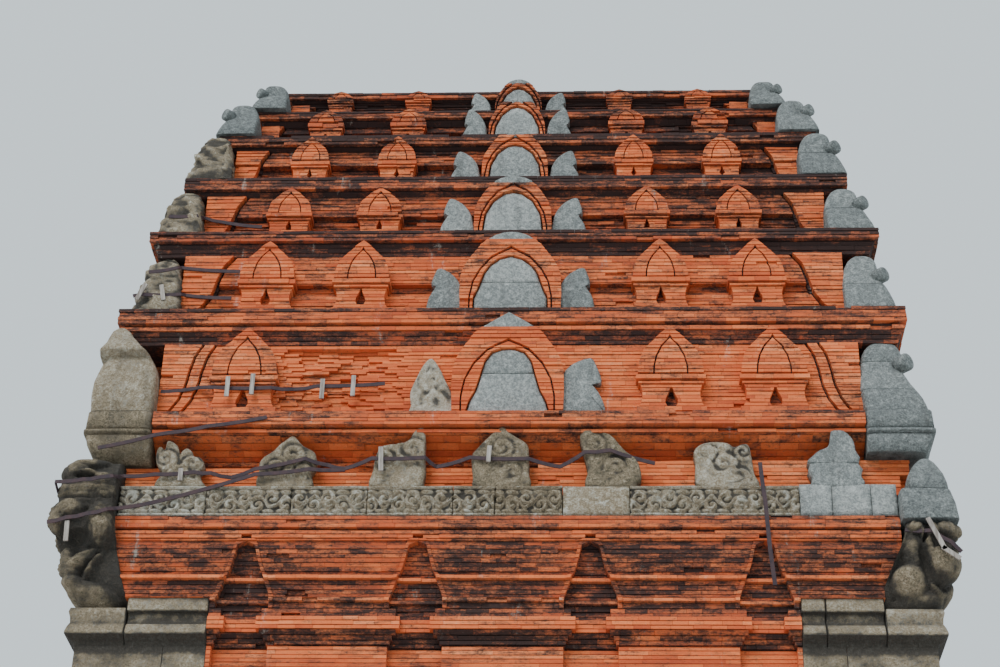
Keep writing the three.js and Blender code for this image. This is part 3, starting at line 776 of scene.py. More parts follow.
def add_core(name, levels, holes, node):
    """The solid mass behind the face bricks. levels holds (height, half), holes the vault's two."""
    rings = [square_ring(half, height) for height, half in levels]
    if holes:
        rings += [square_ring(half, height) for height, half in reversed(holes)]
    points = [point for ring in rings for point in ring]
    faces = closed_tube(4, len(rings))
    if holes:
        last = 4 * (len(rings) - 1)
        ends = [(last + k, last + (k + 1) % 4, (k + 1) % 4, k) for k in range(4)]
        faces = faces[2:] + ends
    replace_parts(add_piece(name, points, faces, brick_core), node)


cornice_profile = [(WALL_TOP + up, WALL_HALF + out) for up, out in CORNICE]
add_core(
    "cornice_core",
    [(WALL_TOP, CORE_HALF), (CORNICE_TOP, CORE_HALF)],
    [(WALL_TOP, vault_half(WALL_TOP)), (CORNICE_TOP, vault_half(CORNICE_TOP))],
    "main_cornice",
)
CORNER_STONE_TOP = 10.91
# edges of the corner stones from the middle out, on the left and on the right of a face
CORNER_STONE_EDGES = {-1: [3.14, 4.02, None], 1: [3.14, 3.40, 4.02, None]}
# height over the wall, depth before it and stain: a flared foot, a hollow and a flat band; the foot's underside and
# the hollow's edges are painted dark as shade
CORNER_STONE_STEPS = [
    (0.0003, 0.012, 1.5), (0.03, 0.030, 1.5), (0.078, 0.100, 1.5), (0.090, 0.118, 0.8), (0.115, 0.120, 0.30),
    (0.170, 0.100, 0.25), (0.215, 0.074, 0.35), (0.232, 0.050, 0.9), (0.275, 0.036, 0.75),
    (0.325, 0.040, 0.60),
    (0.355, 0.052, 0.9), (0.362, 0.098, 0.7), (0.375, 0.108, 0.30), (0.45, 0.108, 0.25), (0.5097, 0.100, 0.4),
]
END_STONE_STEPS = [
    (0.0003, 0.012, 1.5), (0.03, 0.030, 1.5), (0.078, 0.100, 1.5), (0.090, 0.118, 0.8), (0.115, 0.120, 0.30),
    (0.180, 0.102, 0.35), (0.230, 0.080, 0.60), (0.290, 0.086, 0.45), (0.350, 0.104, 0.25),
    (0.399, 0.092, 0.4),
]
STRIPS_TOP = 0.775
# the bell carved over each recessed strip: its raised rim and the hollow inside
BELL_RIM = [
    (0.335, 0.42), (0.335, 0.52), (0.305, 0.62), (0.270, 0.70), (0.245, 0.78), (0.200, 0.87), (0.168, 0.97),
    (0.140, 1.08), (0.125, 1.15), (0.08, 1.185), (0, 1.19),
]
BELL_HOLLOW = [
    (0.285, 0.42), (0.285, 0.52), (0.255, 0.62), (0.222, 0.70), (0.200, 0.78), (0.158, 0.87), (0.128, 0.97),
    (0.102, 1.08), (0.088, 1.13), (0.05, 1.150), (0, 1.155),
]
BELL_SLOT = [(0.055, 1.19), (0.055, 1.25), (0, 1.25)]
# outline, how deep, and how much darker than the face: the rim lighter as a painted highlight, the hollow and the
# slot darker as painted shade
BELL = [(BELL_RIM, -0.012, -0.12), (BELL_HOLLOW, 0.085, 0.15), (BELL_SLOT, 0.06, 0.6)]
for side, side_name in enumerate(SIDES):
    bricks = Brickwork(ROOF_BRICKS, push=0.004, chipped=0.02)
    beds = bed_levels([z for z, _ in cornice_profile] + [SEAT_BOTTOM, CORNER_STONE_TOP])
    corners = [
        Carving(rectangle(hand * CORNER_STONE_EDGES[hand][0], hand * OUTSIDE, WALL_TOP, CORNER_STONE_TOP), None)
        for hand in (-1, 1)
    ]
    for hand, corner in ((1, side), (-1, (side - 1) % 4)):
        edge = [(hand * (inner + STONE_GAP), up) for up, inner, _ in (OLD_BEAST if corner else CUT_BEAST)]
        corners.append(Carving(edge + [(hand * OUTSIDE, edge[-1][1]), (hand * OUTSIDE, edge[0][1])], None))
    for bed, top in zip(beds, beds[1:]):
        fronts = course_fronts(cornice_profile, bed, top)
        grown = max(0, sum(fronts) / 2 - WALL_HALF)
        stain = depth_at(CORNICE_STAINS_AND_SHADE, (bed + top) / 2 - WALL_TOP)
        carvings = list(corners)
        for a, b in STRIPS:
            middle = (a + b) / 2
            # the recessed strips are darker than the moulding, as painted shade
            if top <= WALL_TOP + STRIPS_TOP + NEAR_LEVEL:
                recess = [(bed, fronts[0] - STRIP_DEPTH), (top, fronts[1] - STRIP_DEPTH)]
                carvings.append(Carving(rectangle(a + grown, b - grown, bed, top), recess, stain + 0.12))
            for outline, sink, extra in BELL:
                shape = [(middle + x, WALL_TOP + z) for x, z in both_hands(outline)]
                depths = [(bed, fronts[0] - sink), (top, fronts[1] - sink)]
                carvings.append(Carving(shape, depths, stain + extra))
        stop = SEAT_HALF if bed >= SEAT_BOTTOM - NEAR_LEVEL else None
        bricks.course(bed, top, fronts, stain, CORE_HALF, stop, carvings)
    bricks.build(f"cornice_bricks_{side_name}", side, brick_face, "stained_brick")

    stones = Stonework()
    for hand in (-1, 1):
        edges = CORNER_STONE_EDGES[hand]
        for near, far in zip(edges, edges[1:]):
            steps = CORNER_STONE_STEPS if far else END_STONE_STEPS
            profile = [(WALL_TOP + up, WALL_HALF + out, stain) for up, out, stain in steps]
            stones.add(*moulded_stone(hand, near, far, profile, CORE_HALF))
    stones.build(f"cornice_corner_stones_{side_name}", side, old_stone, "old_stone", False)

# Guardians
# A beast carved from grey stone squats on each corner of the cornice, its knees drawn up and its
# head over them. Old work is dark and worn; the front right one has a new smooth block and dome.
CORNERS = ["front_right", "back_right", "back_left", "front_left"]
BEAST_COLUMNS, BEAST_STEP, BEAST_ROUND = 36, 0.0195, 0.13
BEAST_GROUND, BEAST_TONE = -0.10, 0.24
FOLD_DEPTH, JOINT_DEPTH, JOINT_HALF = 0.016, 0.035, 0.010
# rounded masses on a face: distance from the axis, height, two radii, tilt in degrees, how far out
OLD_MASSES = [
    (4.50, 10.93, 0.43, 0.17, 12, 0.03), (4.66, 11.03, 0.17, 0.15, 0, 0.04),
    (4.61, 11.27, 0.27, 0.09, -40, 0.04),
    (4.67, 11.17, 0.11, 0.08, 0, 0.03), (4.43, 11.25, 0.20, 0.045, -58, 0.015),
    (4.37, 11.72, 0.18, 0.30, 0, 0.03),
    (4.74, 11.87, 0.18, 0.13, -10, 0.045), (4.88, 11.70, 0.12, 0.17, 0, 0.03),
    (4.62, 11.60, 0.05, 0.07, 0, -0.05),
    (4.74, 11.31, 0.12, 0.14, 0, 0.02),
    (4.76, 11.58, 0.045, 0.10, 0, -0.04), (4.56, 12.09, 0.46, 0.20, 0, -0.005),
    (4.74, 12.37, 0.16, 0.16, 0, 0.02),
    (4.60, 12.33, 0.14, 0.040, 8, 0.03), (4.48, 12.24, 0.26, 0.11, 0, -0.01),
    (4.62, 12.49, 0.26, 0.08, 0, 0.005),
]
CUT_MASSES = [
    (4.30, 11.06, 0.21, 0.21, 0, 0.04), (4.43, 10.90, 0.32, 0.12, 8, -0.01),
    (4.63, 11.26, 0.22, 0.22, 0, 0.04),
    (4.50, 11.52, 0.23, 0.055, -70, 0.03), (4.39, 11.67, 0.11, 0.09, 0, 0.03),
    (4.74, 11.65, 0.15, 0.10, -15, 0.04),
    (4.58, 10.99, 0.17, 0.04, -40, 0.01), (4.15, 11.33, 0.36, 0.035, 62, 0.0),
    (4.35, 11.42, 0.13, 0.20, 0, -0.02),
    (4.60, 11.66, 0.05, 0.11, 20, 0.01),
]
# hollows between them, in the same order
OLD_PITS = [
    (4.62, 11.55, 0.15, 0.12, 0, -0.19), (4.30, 11.21, 0.13, 0.17, 20, -0.10),
    (4.76, 12.085, 0.07, 0.045, 0, -0.08),
    (4.60, 12.27, 0.14, 0.035, 8, -0.12), (4.70, 12.37, 0.05, 0.04, 0, -0.09),
    (4.80, 11.93, 0.03, 0.03, 0, -0.05),
]
CUT_PITS = [
    (4.47, 11.28, 0.06, 0.22, 10, -0.15), (4.50, 11.60, 0.03, 0.13, -20, -0.13),
    (4.66, 11.50, 0.13, 0.035, -40, -0.10),
]
# carved folds: centre, nearest and farthest distance from it, how far apart the folds lie
OLD_FOLDS = [
    (4.37, 12.02, 0.0, 0.17, 0.045), (4.36, 11.60, 0.0, 0.24, 0.06), (4.60, 11.60, 0.08, 0.50, 0.062),
    (4.76, 11.86, 0.0, 0.15, 0.055), (4.72, 12.36, 0.0, 0.12, 0.07),
]
CUT_FOLDS = [(4.50, 11.62, 0.10, 0.36, 0.055), (4.40, 11.69, 0.0, 0.10, 0.05)]
# joints across a face: height, from, to
OLD_JOINTS = [(11.458, 4.1, 4.62), (12.01, 4.1, 4.95), (12.17, 4.1, 4.95)]


def weathering(x, z, seed, *waves):
    """Sum of soft noises over a face. Each wave is (lumps a metre, strength)."""
    return sum(strength * noise.noise(Vector((x * often, z * often, seed))) for often, strength in waves)


def lump(across, up, masses, level):
    """How far domes on a face rise or sink at each point, from 0 to 1, and the level of each."""
    for middle, height, wide, tall, tilt, top in masses:
        cosine, sine = math.cos(math.radians(tilt)), math.sin(math.radians(tilt))
        along = ((across - middle) * cosine + (up - height) * sine) / wide
        over = ((up - height) * cosine - (across - middle) * sine) / tall
        share = np.sqrt(np.clip(1 - along ** 2 - over ** 2, 0, 1))
        reached = BEAST_GROUND + (top - BEAST_GROUND) * share
        if top > BEAST_GROUND:
            level = np.where(share > 0, np.maximum(level, reached), level)
        else:
            level = np.minimum(level, np.where(share > 0, top * share, level))
    return level


def beast_relief(across, up, masses, pits, folds, joints):
    """Depth of a guardian's carving before the outer edge of its stone."""
    level = lump(across, up, masses, np.full(across.shape, BEAST_GROUND))
    level = lump(across, up, pits, level)
    for middle, height, near, far, apart in folds:
        distance = np.hypot(across - middle, up - height)
        inside = (distance > near) & (distance < far) & (level > -0.06)
        level = level - inside * FOLD_DEPTH * (0.5 - 0.5 * np.cos(2 * math.pi * distance / apart))
    for height, low, high in joints:
        inside = (across > low) & (across < high)
        level = level - inside * JOINT_DEPTH * np.exp(-((up - height) / JOINT_HALF) ** 2)
    return level


def beast(name, side, outline, *carving):
    """One corner's carved stone as a closed body, the same on both sides of the diagonal."""
    levels = [row[0] for row in outline]
    heights = np.linspace(levels[0], levels[-1], round((levels[-1] - levels[0]) / BEAST_STEP))
    points, stains_and_shades = [], []
    for up in heights:
        inner = float(np.interp(up, levels, [row[1] for row in outline]))
        outer = float(np.interp(up, levels, [row[2] for row in outline]))
        corner = outer - 0.29 * BEAST_ROUND
        across = np.linspace(inner, corner, BEAST_COLUMNS)
        bend = np.clip((across - outer + BEAST_ROUND) / (0.71 * BEAST_ROUND), 0, 1)
        level = beast_relief(across, np.full(across.shape, up), *carving)
        worn = np.array([weathering(a, up, side * 7, (5, 1), (16, 0.6)) for a in across])
        level = (level + 0.010 * worn) * (1 - 0.5 * bend)
        ring = list(zip(across + level * bend, outer - 0.29 * BEAST_ROUND * bend ** 2 + level))
        ring += [(out, a) for a, out in reversed(ring[:-1])]
        hidden = max(SEAT_HALF, inner) + 0.003
        ring += [(hidden, inner), (hidden, hidden), (inner, hidden)]
        points += [(a, out, up) for a, out in ring]
        # deep carving is painted darker as shade and raised parts lighter as a painted highlight; the hidden faces
        # inside are dark
        hollow = 0.46 - 0.30 * worn + np.clip(-level / 0.10, -0.5, 1.2) * 0.85
        stains_and_shades += [*hollow, *hollow[-2::-1], *[0.8] * 3]
    stone = Stonework()
    stone.add(points, closed_tube(len(points) // len(heights), len(heights)), BEAST_TONE, stains_and_shades)
    return stone.build(name, side, old_stone, "old_stone")


for side, corner_name in enumerate(CORNERS):
    if side == 0:
        shape = (CUT_BEAST, CUT_MASSES, CUT_PITS, CUT_FOLDS, [])
    else:
        shape = (OLD_BEAST, OLD_MASSES, OLD_PITS, OLD_FOLDS, OLD_JOINTS)
    body = beast(f"guardian_body_{corner_name}", side, *shape)
    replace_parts(body, f"guardian_{corner_name}")

# Stone frieze
# Grey-green stone blocks 37 cm high, set dry on the cornice and carved with a waving stem that
# curls between two fillets. Plain blocks fill two gaps on the front, where the carved ones fell.
FRIEZE_FRONT, FRIEZE_BACK = 4.705, 4.2847
FRIEZE_FOOT, FRIEZE_TOP = 11.8653, 12.235
FRIEZE_JOINTS = [-4.25, -3.29, -2.35, -1.51, -0.57, -0.11, 0.63, 1.36, 3.20, 3.55, 3.97, 4.25]
# shade of each block from the left; on the front the last three are renewed and one is plain
FRIEZE_TONES = [0.95, 0.70, 0.62, 0.60, 0.55, 0.40, 0.60, 0.62, 0.95, -1, -1]
RENEWED_FROM, PLAIN_BLOCK = 3.20, 0.63
SCROLL_WIDTH, SCROLL_RADIUS = 0.31, 0.084
# grid of the carving on the front, and on the sides that are farther from the eye
CARVING_STEPS = [0.015, 0.023, 0.023, 0.023]
PLAIN_STEP = 0.06
RELIEF = 0.05


def ridge(distance, width):
    return np.exp(-(distance / width) ** 2)


def scrolls(across, share):
    """Height of the frieze's carving, 0 to 1. share runs from the foot of the stone to its head."""
    cell = across / SCROLL_WIDTH
    tall = FRIEZE_TOP - FRIEZE_FOOT
    wave = 0.50 + 0.17 * np.sin(2 * math.pi * cell) + 0.03 * np.sin(5.3 * math.pi * cell)
    carved = ridge(share - wave, 0.055)
    for middle, height, hand in ((0.25, 0.40, 1), (0.75, 0.62, -1)):
        over = (cell - middle - np.round(cell - middle)) * SCROLL_WIDTH
        up = (share - height) * tall
        away = np.hypot(over, up)
        turned = hand * np.arctan2(up, over) + 2.4 * np.round(cell - middle)
        curl = 0.5 + 0.5 * np.cos(turned + away / 0.0135)
        faded = np.clip((SCROLL_RADIUS - away) / 0.015, 0, 1)
        carved = np.maximum(carved, curl * faded)
    tongues = np.abs(np.sin(math.pi * (2 * cell + 1.2 * share)))
    for height in (0.20, 0.84):
        carved = np.maximum(carved, 0.85 * ridge(share - height, 0.060) * tongues)
    fillets = np.maximum((share > 0.93) * 1.0, (share < 0.11) * 1.0)
    return np.maximum(carved, fillets)


def frieze_block(left, right, low, high, back, front, relief, step):
    """One block with its face as a fine grid raised by relief(across, share)."""
    columns = max(2, round((right - left) / step))
    rows = max(2, round((high - low) / step))
    across = np.linspace(left, right, columns + 1)
    up = np.linspace(low, high, rows + 1)
    across, up = np.meshgrid(across, up)
    edge = np.minimum.reduce([across - left, right - across, up - low, high - up])
    raised = relief(across, (up - low) / (high - low))
    worn = np.array([
        noise.noise(Vector((x * 6, z * 6, back))) + 0.5 * noise.noise(Vector((x * 21, z * 21, back)))
        for x, z in zip(across.ravel(), up.ravel())
    ]).reshape(across.shape)
    out = front - RELIEF * (1 - raised) + 0.008 * worn - 0.016 * np.clip(1 - edge / 0.02, 0, 1) ** 2
    points = list(zip(across.ravel(), out.ravel(), up.ravel()))
    width = columns + 1
    faces = [
        (r * width + c, r * width + c + 1, (r + 1) * width + c + 1, (r + 1) * width + c)
        for r in range(rows) for c in range(columns)
    ]
    border = list(range(width)) + [r * width + columns for r in range(1, rows + 1)]
    border += [rows * width + c for c in range(columns - 1, -1, -1)]
    border += [r * width for r in range(rows - 1, 0, -1)]
    start = len(points)
    points += [(points[i][0], back, points[i][2]) for i in border]
    count = len(border)
    for i in range(count):
        j = (i + 1) % count
        faces.append((border[j], border[i], start + i, start + j))
    faces.append(tuple(start + i for i in range(count - 1, -1, -1)))
    # low parts of the carving are painted darker as shade, and raised parts lighter as a painted highlight
    hollow = 1.10 * (1 - raised.ravel()) ** 2 - 0.32 - 3 * worn.ravel() * 0.06
    return points, faces, list(hollow) + [0.6] * count


def plain(across, share):
    return 0.75 + 0 * across


for side, side_name in enumerate(SIDES):
    carved_stones, new_stones = Stonework(), Stonework()
    for left, right, tone in zip(FRIEZE_JOINTS, FRIEZE_JOINTS[1:], FRIEZE_TONES):
        renewed = side == 0 and left >= RENEWED_FROM
        smooth_face = renewed or (side == 0 and left == PLAIN_BLOCK)
        head = FRIEZE_TOP + (0.02 if renewed else 0)
        front = FRIEZE_FRONT - (0 if renewed else 0.004)
        relief, step = (plain, PLAIN_STEP) if smooth_face else (scrolls, CARVING_STEPS[side])
        points, faces, hollows = frieze_block(
            left + STONE_GAP, right - STONE_GAP, FRIEZE_FOOT, head, FRIEZE_BACK, front, relief, step,
        )
        if renewed:
            new_stones.add(points, faces, 0.85, [-0.1] * len(hollows))
        else:
            carved_stones.add(points, faces, tone, hollows)
    frieze = carved_stones.build(f"frieze_{side_name}", side, old_stone, "old_stone")
    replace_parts(frieze, f"stone_frieze_{side_name}")
    if new_stones.points:
        new_stones.build(f"frieze_new_{side_name}", side, new_stone, "new_stone")

# Standing stones
# Seven carved stones stand on each side of the frieze, tenoned into it. On the front they are
# broken to different outlines; the right hand one is a plain new stone in two parts.
STANDING_SPACING = 1.20
STANDING_FRONT, STANDING_BACK = 4.685, 4.485
# rings of points over a stone's face, more on the front
STANDING_RINGS = [12, 8, 8, 8]
VOLUTES = [
    (-0.25, 0), (-0.252, 0.11), (-0.215, 0.20), (-0.28, 0.29), (-0.306, 0.41), (-0.284, 0.52), (-0.215, 0.49),
    (-0.19, 0.60), (-0.08, 0.54), (-0.04, 0.42), (-0.013, 0.47), (0.04, 0.50), (0.098, 0.455), (0.12, 0.395),
    (0.18, 0.39), (0.232, 0.337), (0.238, 0.268), (0.196, 0.215), (0.215, 0.154), (0.25, 0.06), (0.26, 0),
]
TRIANGLE = [
    (-0.31, 0), (-0.335, 0.22), (-0.325, 0.35), (-0.188, 0.475), (-0.04, 0.63), (0.03, 0.65), (0.133, 0.535),
    (0.274, 0.44), (0.285, 0.29), (0.24, 0.19), (0.24, 0),
]
HORN = [
    (-0.27, 0), (-0.27, 0.21), (-0.24, 0.41), (-0.197, 0.51), (-0.077, 0.55), (0.01, 0.56), (0.11, 0.60),
    (0.174, 0.69), (0.212, 0.75), (0.266, 0.76), (0.297, 0.66), (0.297, 0.47), (0.31, 0.24),
    (0.29, 0.10), (0.25, 0),
]
HOUSE = [
    (-0.31, 0), (-0.36, 0.14), (-0.38, 0.39), (-0.318, 0.50), (-0.213, 0.625), (-0.055, 0.77), (0.07, 0.67),
    (0.23, 0.55), (0.255, 0.39), (0.255, 0.2), (0.235, 0),
]
LEANING = [
    (-0.295, 0), (-0.295, 0.21), (-0.32, 0.35), (-0.38, 0.62), (-0.354, 0.71), (-0.26, 0.72), (-0.14, 0.71),
    (-0.03, 0.655), (0.10, 0.485), (0.232, 0.363), (0.28, 0.24), (0.29, 0.12), (0.24, 0.06), (0.18, 0),
]
DISC = [
    (-0.26, 0), (-0.31, 0.33), (-0.325, 0.45), (-0.25, 0.54), (-0.11, 0.575), (0.045, 0.56), (0.12, 0.51),
    (0.22, 0.55), (0.28, 0.525), (0.305, 0.38), (0.325, 0.18), (0.34, 0),
]
PLAIN_FOOT = [(-0.225, 0), (-0.24, 0.13), (-0.26, 0.285), (0.265, 0.285), (0.285, 0.13), (0.29, 0)]
PLAIN_HEAD = [
    (-0.26, 0.29), (-0.235, 0.37), (-0.163, 0.436), (-0.062, 0.481), (-0.026, 0.582),
    (-0.009, 0.69), (0.06, 0.705),
    (0.13, 0.70), (0.202, 0.627), (0.236, 0.55), (0.245, 0.447), (0.265, 0.29),
]
# outline, curls as (across, up, radius, hand), tone
STANDING = [
    (VOLUTES, [(-0.19, 0.36, 0.15, 1), (0.12, 0.30, 0.14, -1), (0.0, 0.10, 0.16, 1)], 0.60),
    (TRIANGLE, [(0.02, 0.42, 0.16, 1), (-0.14, 0.26, 0.12, -1), (0.14, 0.22, 0.12, 1)], 0.45),
    (HORN, [(0.16, 0.48, 0.17, 1), (-0.12, 0.36, 0.13, -1)], 0.55),
    (HOUSE, [(-0.05, 0.50, 0.15, 1), (0.08, 0.20, 0.15, -1)], 0.30),
    (LEANING, [(-0.22, 0.56, 0.14, 1), (0.02, 0.26, 0.16, -1)], 0.20),
    (
        DISC,
        [(0.0, 0.30, 0.17, 1), (0.21, 0.44, 0.11, -1), (-0.18, 0.44, 0.12, 1), (0.16, 0.14, 0.14, 1)],
        0.75,
    ),
    (None, [], 0.5),
]


def rounded(outline, cuts=3):
    """A closed curve through the outline's points, with cuts new points on each stretch."""
    points = [Vector(point) for point in outline]
    count = len(points)
    result = []
    for i in range(count):
        p0, p1, p2, p3 = points[i - 1], points[i], points[(i + 1) % count], points[(i + 2) % count]
        for k in range(cuts):
            t = k / cuts
            result.append(0.5 * (
                2 * p1 + (p2 - p0) * t + (2 * p0 - 5 * p1 + 4 * p2 - p3) * t * t
                + (3 * p1 - p0 - 3 * p2 + p3) * t ** 3
            ))
    return [(p.x, p.y) for p in result]


def curl_relief(curls):
    """Spiral ridges of carved leaf, with rough wear between them."""
    def relief(x, z):
        height = 0.50 * noise.noise(Vector((x * 8, z * 8, 4.2)))
        height += 0.25 * noise.noise(Vector((x * 23, z * 23, 1)))
        for across, up, radius, hand in curls:
            dx, dz = (x - across) * hand, z - up
            far = math.hypot(dx, dz) / radius
            if far < 1.25:
                turn = math.cos(math.atan2(dz, dx) + 9.5 * far)
                height += max(0, min(1, (1.25 - far) * 4)) * (0.42 * turn)
        return height
    return relief


def slab(outline, back, front, bevel=0.02, relief=None, height=0.03, rings=7):
    """A stone cut to an outline, edges rounded off, its face raised by relief(across, up)."""
    turns = sum(xa * zb - xb * za for (xa, za), (xb, zb) in zip(outline, outline[1:] + outline[:1]))
    outline = outline if turns > 0 else outline[::-1]
    xs, zs = [x for x, _ in outline], [z for _, z in outline]
    middle = ((min(xs) + max(xs)) / 2, (min(zs) + max(zs)) / 2)
    size = min(max(xs) - min(xs), max(zs) - min(zs)) / 2
    share = 1 - bevel / size
    steps = [(1.0, back), (1.0, front - bevel), ((1 + share) / 2, front - 0.3 * bevel)]
    steps += [(share * (1 - i / rings), front) for i in range(rings)]
    points, hollows = [], []
    for step, (scale, out) in enumerate(steps):
        for x, z in outline:
            px, pz = middle[0] + (x - middle[0]) * scale, middle[1] + (z - middle[1]) * scale
            raised = relief(px, pz) if relief and step > 1 else 0
            points.append((px, out + height * raised, pz))
            # low parts of the relief are painted darker as shade
            hollows.append(max(0, min(1, 0.25 - raised)) if relief else 0)
    points.append((middle[0], front + (height * relief(*middle) if relief else 0), middle[1]))
    hollows.append(0)
    count = len(outline)
    faces = [tuple(range(count - 1, -1, -1))]
    for ring in range(len(steps) - 1):
        for k in range(count):
            a, b = ring * count + k, ring * count + (k + 1) % count
            faces.append((a, b, b + count, a + count))
    last = (len(steps) - 1) * count
    faces += [(last + k, last + (k + 1) % count, last + count) for k in range(count)]
    return points, faces, hollows


def shifted(outline, across, up, hand=1):
    return [(across + hand * x, up + z) for x, z in outline]


for side, side_name in enumerate(SIDES):
    carved_stones, new_stones = Stonework(), Stonework()
    order = list(range(7)) if side == 0 else dice.sample([0, 1, 2, 3, 4, 5, 3], 7)
    for place_number, kind in enumerate(order):
        across = (place_number - 3) * STANDING_SPACING
        outline, curls, tone = STANDING[kind]
        hand = 1 if side == 0 else dice.choice((-1, 1))
        if outline is None:
            for part in (PLAIN_FOOT, PLAIN_HEAD):
                shape = shifted(rounded(part, 2), across, FRIEZE_TOP)
                points, faces, hollows = slab(shape, STANDING_BACK, STANDING_FRONT, 0.02)
                new_stones.add(points, faces, 0.5, hollows)
            continue
        relief = curl_relief([(across + hand * x, FRIEZE_TOP + z, r, turn * hand) for x, z, r, turn in curls])
        shape = shifted(rounded(outline, 4), across, FRIEZE_TOP, hand)
        rings = STANDING_RINGS[side]
        points, faces, hollows = slab(shape, STANDING_BACK, STANDING_FRONT - 0.02, 0.03, relief, 0.035, rings)
        carved_stones.add(points, faces, tone, hollows)
    carved_stones.build(f"standing_stones_{side_name}", side, old_stone, "old_stone")
    if new_stones.points:
        new_stones.build(f"standing_stone_new_{side_name}", side, new_stone, "new_stone")

# Attic
# Behind the stone frieze a plain brick shelf and a hollow waist carry the first flat ledge, from
# which the storeys step in. The waist keeps its orange under streaks of black.
SEAT_HEAD, SHELF_FOOT, SHELF_TOP, ATTIC_TOP = 12.49, 12.245, 12.68, 13.18
SHELF_FRONT, WAIST, REBATE_HALF, FILLET_HALF, LEDGE_HALF = 4.45, 4.265, 4.62, 4.665, 4.72
ATTIC_CORE = 4.10
SHELF_END = 4.34
BOWL_IN = 3.98
# foot of the bowl-shaped stone on each corner: the renewed one stands on the shelf, the old ones lower
BOWL_FEET = [12.683, 12.588, 12.588, 12.588]
# the shelf's upper courses are lost on the left of the front
LOST_SHELF = [
    (-6, 12.70), (-6, 12.588), (-2.2, 12.588), (-2.2, 12.54), (-1.3, 12.54), (-1.3, 12.588), (0.35, 12.588),
    (0.35, 12.636), (1.95, 12.636), (1.95, 12.70),
]
JOINT_EDGE = 0.012
attic_profile = [
    (CORNICE_TOP, FRIEZE_BACK), (SHELF_FOOT, FRIEZE_BACK), (SHELF_FOOT, SHELF_FRONT),
    (SHELF_TOP, SHELF_FRONT),
    (SHELF_TOP, WAIST), *curve((12.70, WAIST + 0.02), (12.915, REBATE_HALF), 1, 5), (12.92, FILLET_HALF),
    (12.965, FILLET_HALF), (12.965, REBATE_HALF), (12.995, REBATE_HALF), (12.995, LEDGE_HALF),
    (ATTIC_TOP, LEDGE_HALF),
]
# stain up the attic; the rebate under the ledge is painted black as shade
ATTIC_STAINS_AND_SHADE = [
    (CORNICE_TOP, 0.4), (12.35, 0.10), (12.55, 0.0), (12.675, 0.12), (12.685, 0.65),
    (12.75, 0.30), (12.86, 0.12),
    (12.919, 0.42), (12.921, 0.20), (12.964, 0.28), (12.966, 1.0), (12.994, 1.0), (12.996, 0.30),
    (13.10, 0.38),
    (ATTIC_TOP, 0.65),
]
add_core(
    "attic_core",
    [(CORNICE_TOP, ATTIC_CORE), (ATTIC_TOP, ATTIC_CORE)],
    [(CORNICE_TOP, vault_half(CORNICE_TOP)), (ATTIC_TOP, vault_half(ATTIC_TOP))],
    "attic_ledge",
)
for side, side_name in enumerate(SIDES):
    bricks = Brickwork(ROOF_BRICKS, push=0.004, chipped=0.02)
    beds = bed_levels([z for z, _ in attic_profile] + [BOWL_FEET[1], SEAT_HEAD])
    corners = [
        Carving(rectangle(hand * BOWL_IN, hand * OUTSIDE, BOWL_FEET[corner], ATTIC_TOP), None)
        for hand, corner in ((1, side), (-1, (side - 1) % 4))
    ]
    if side == 0:
        corners.insert(0, Carving(LOST_SHELF, WAIST, 0.1))
    for bed, top in zip(beds, beds[1:]):
        fronts = course_fronts(attic_profile, bed, top)
        stop = None
        if top <= SHELF_FOOT + NEAR_LEVEL:
            stop = SEAT_HALF
        elif top <= SEAT_HEAD + NEAR_LEVEL:
            stop = SHELF_END
        stain = depth_at(ATTIC_STAINS_AND_SHADE, (bed + top) / 2)
        bricks.course(bed, top, fronts, stain, ATTIC_CORE, stop, corners)
    bricks.build(f"attic_bricks_{side_name}", side, brick_face, "brick")


# points round a corner stone, plain and carved, and how far the rows of a carved one lie apart
STACK_RING, CARVED_RING, CARVED_ROW = 44, 60, 0.042
STACK_WEAR = 0.012


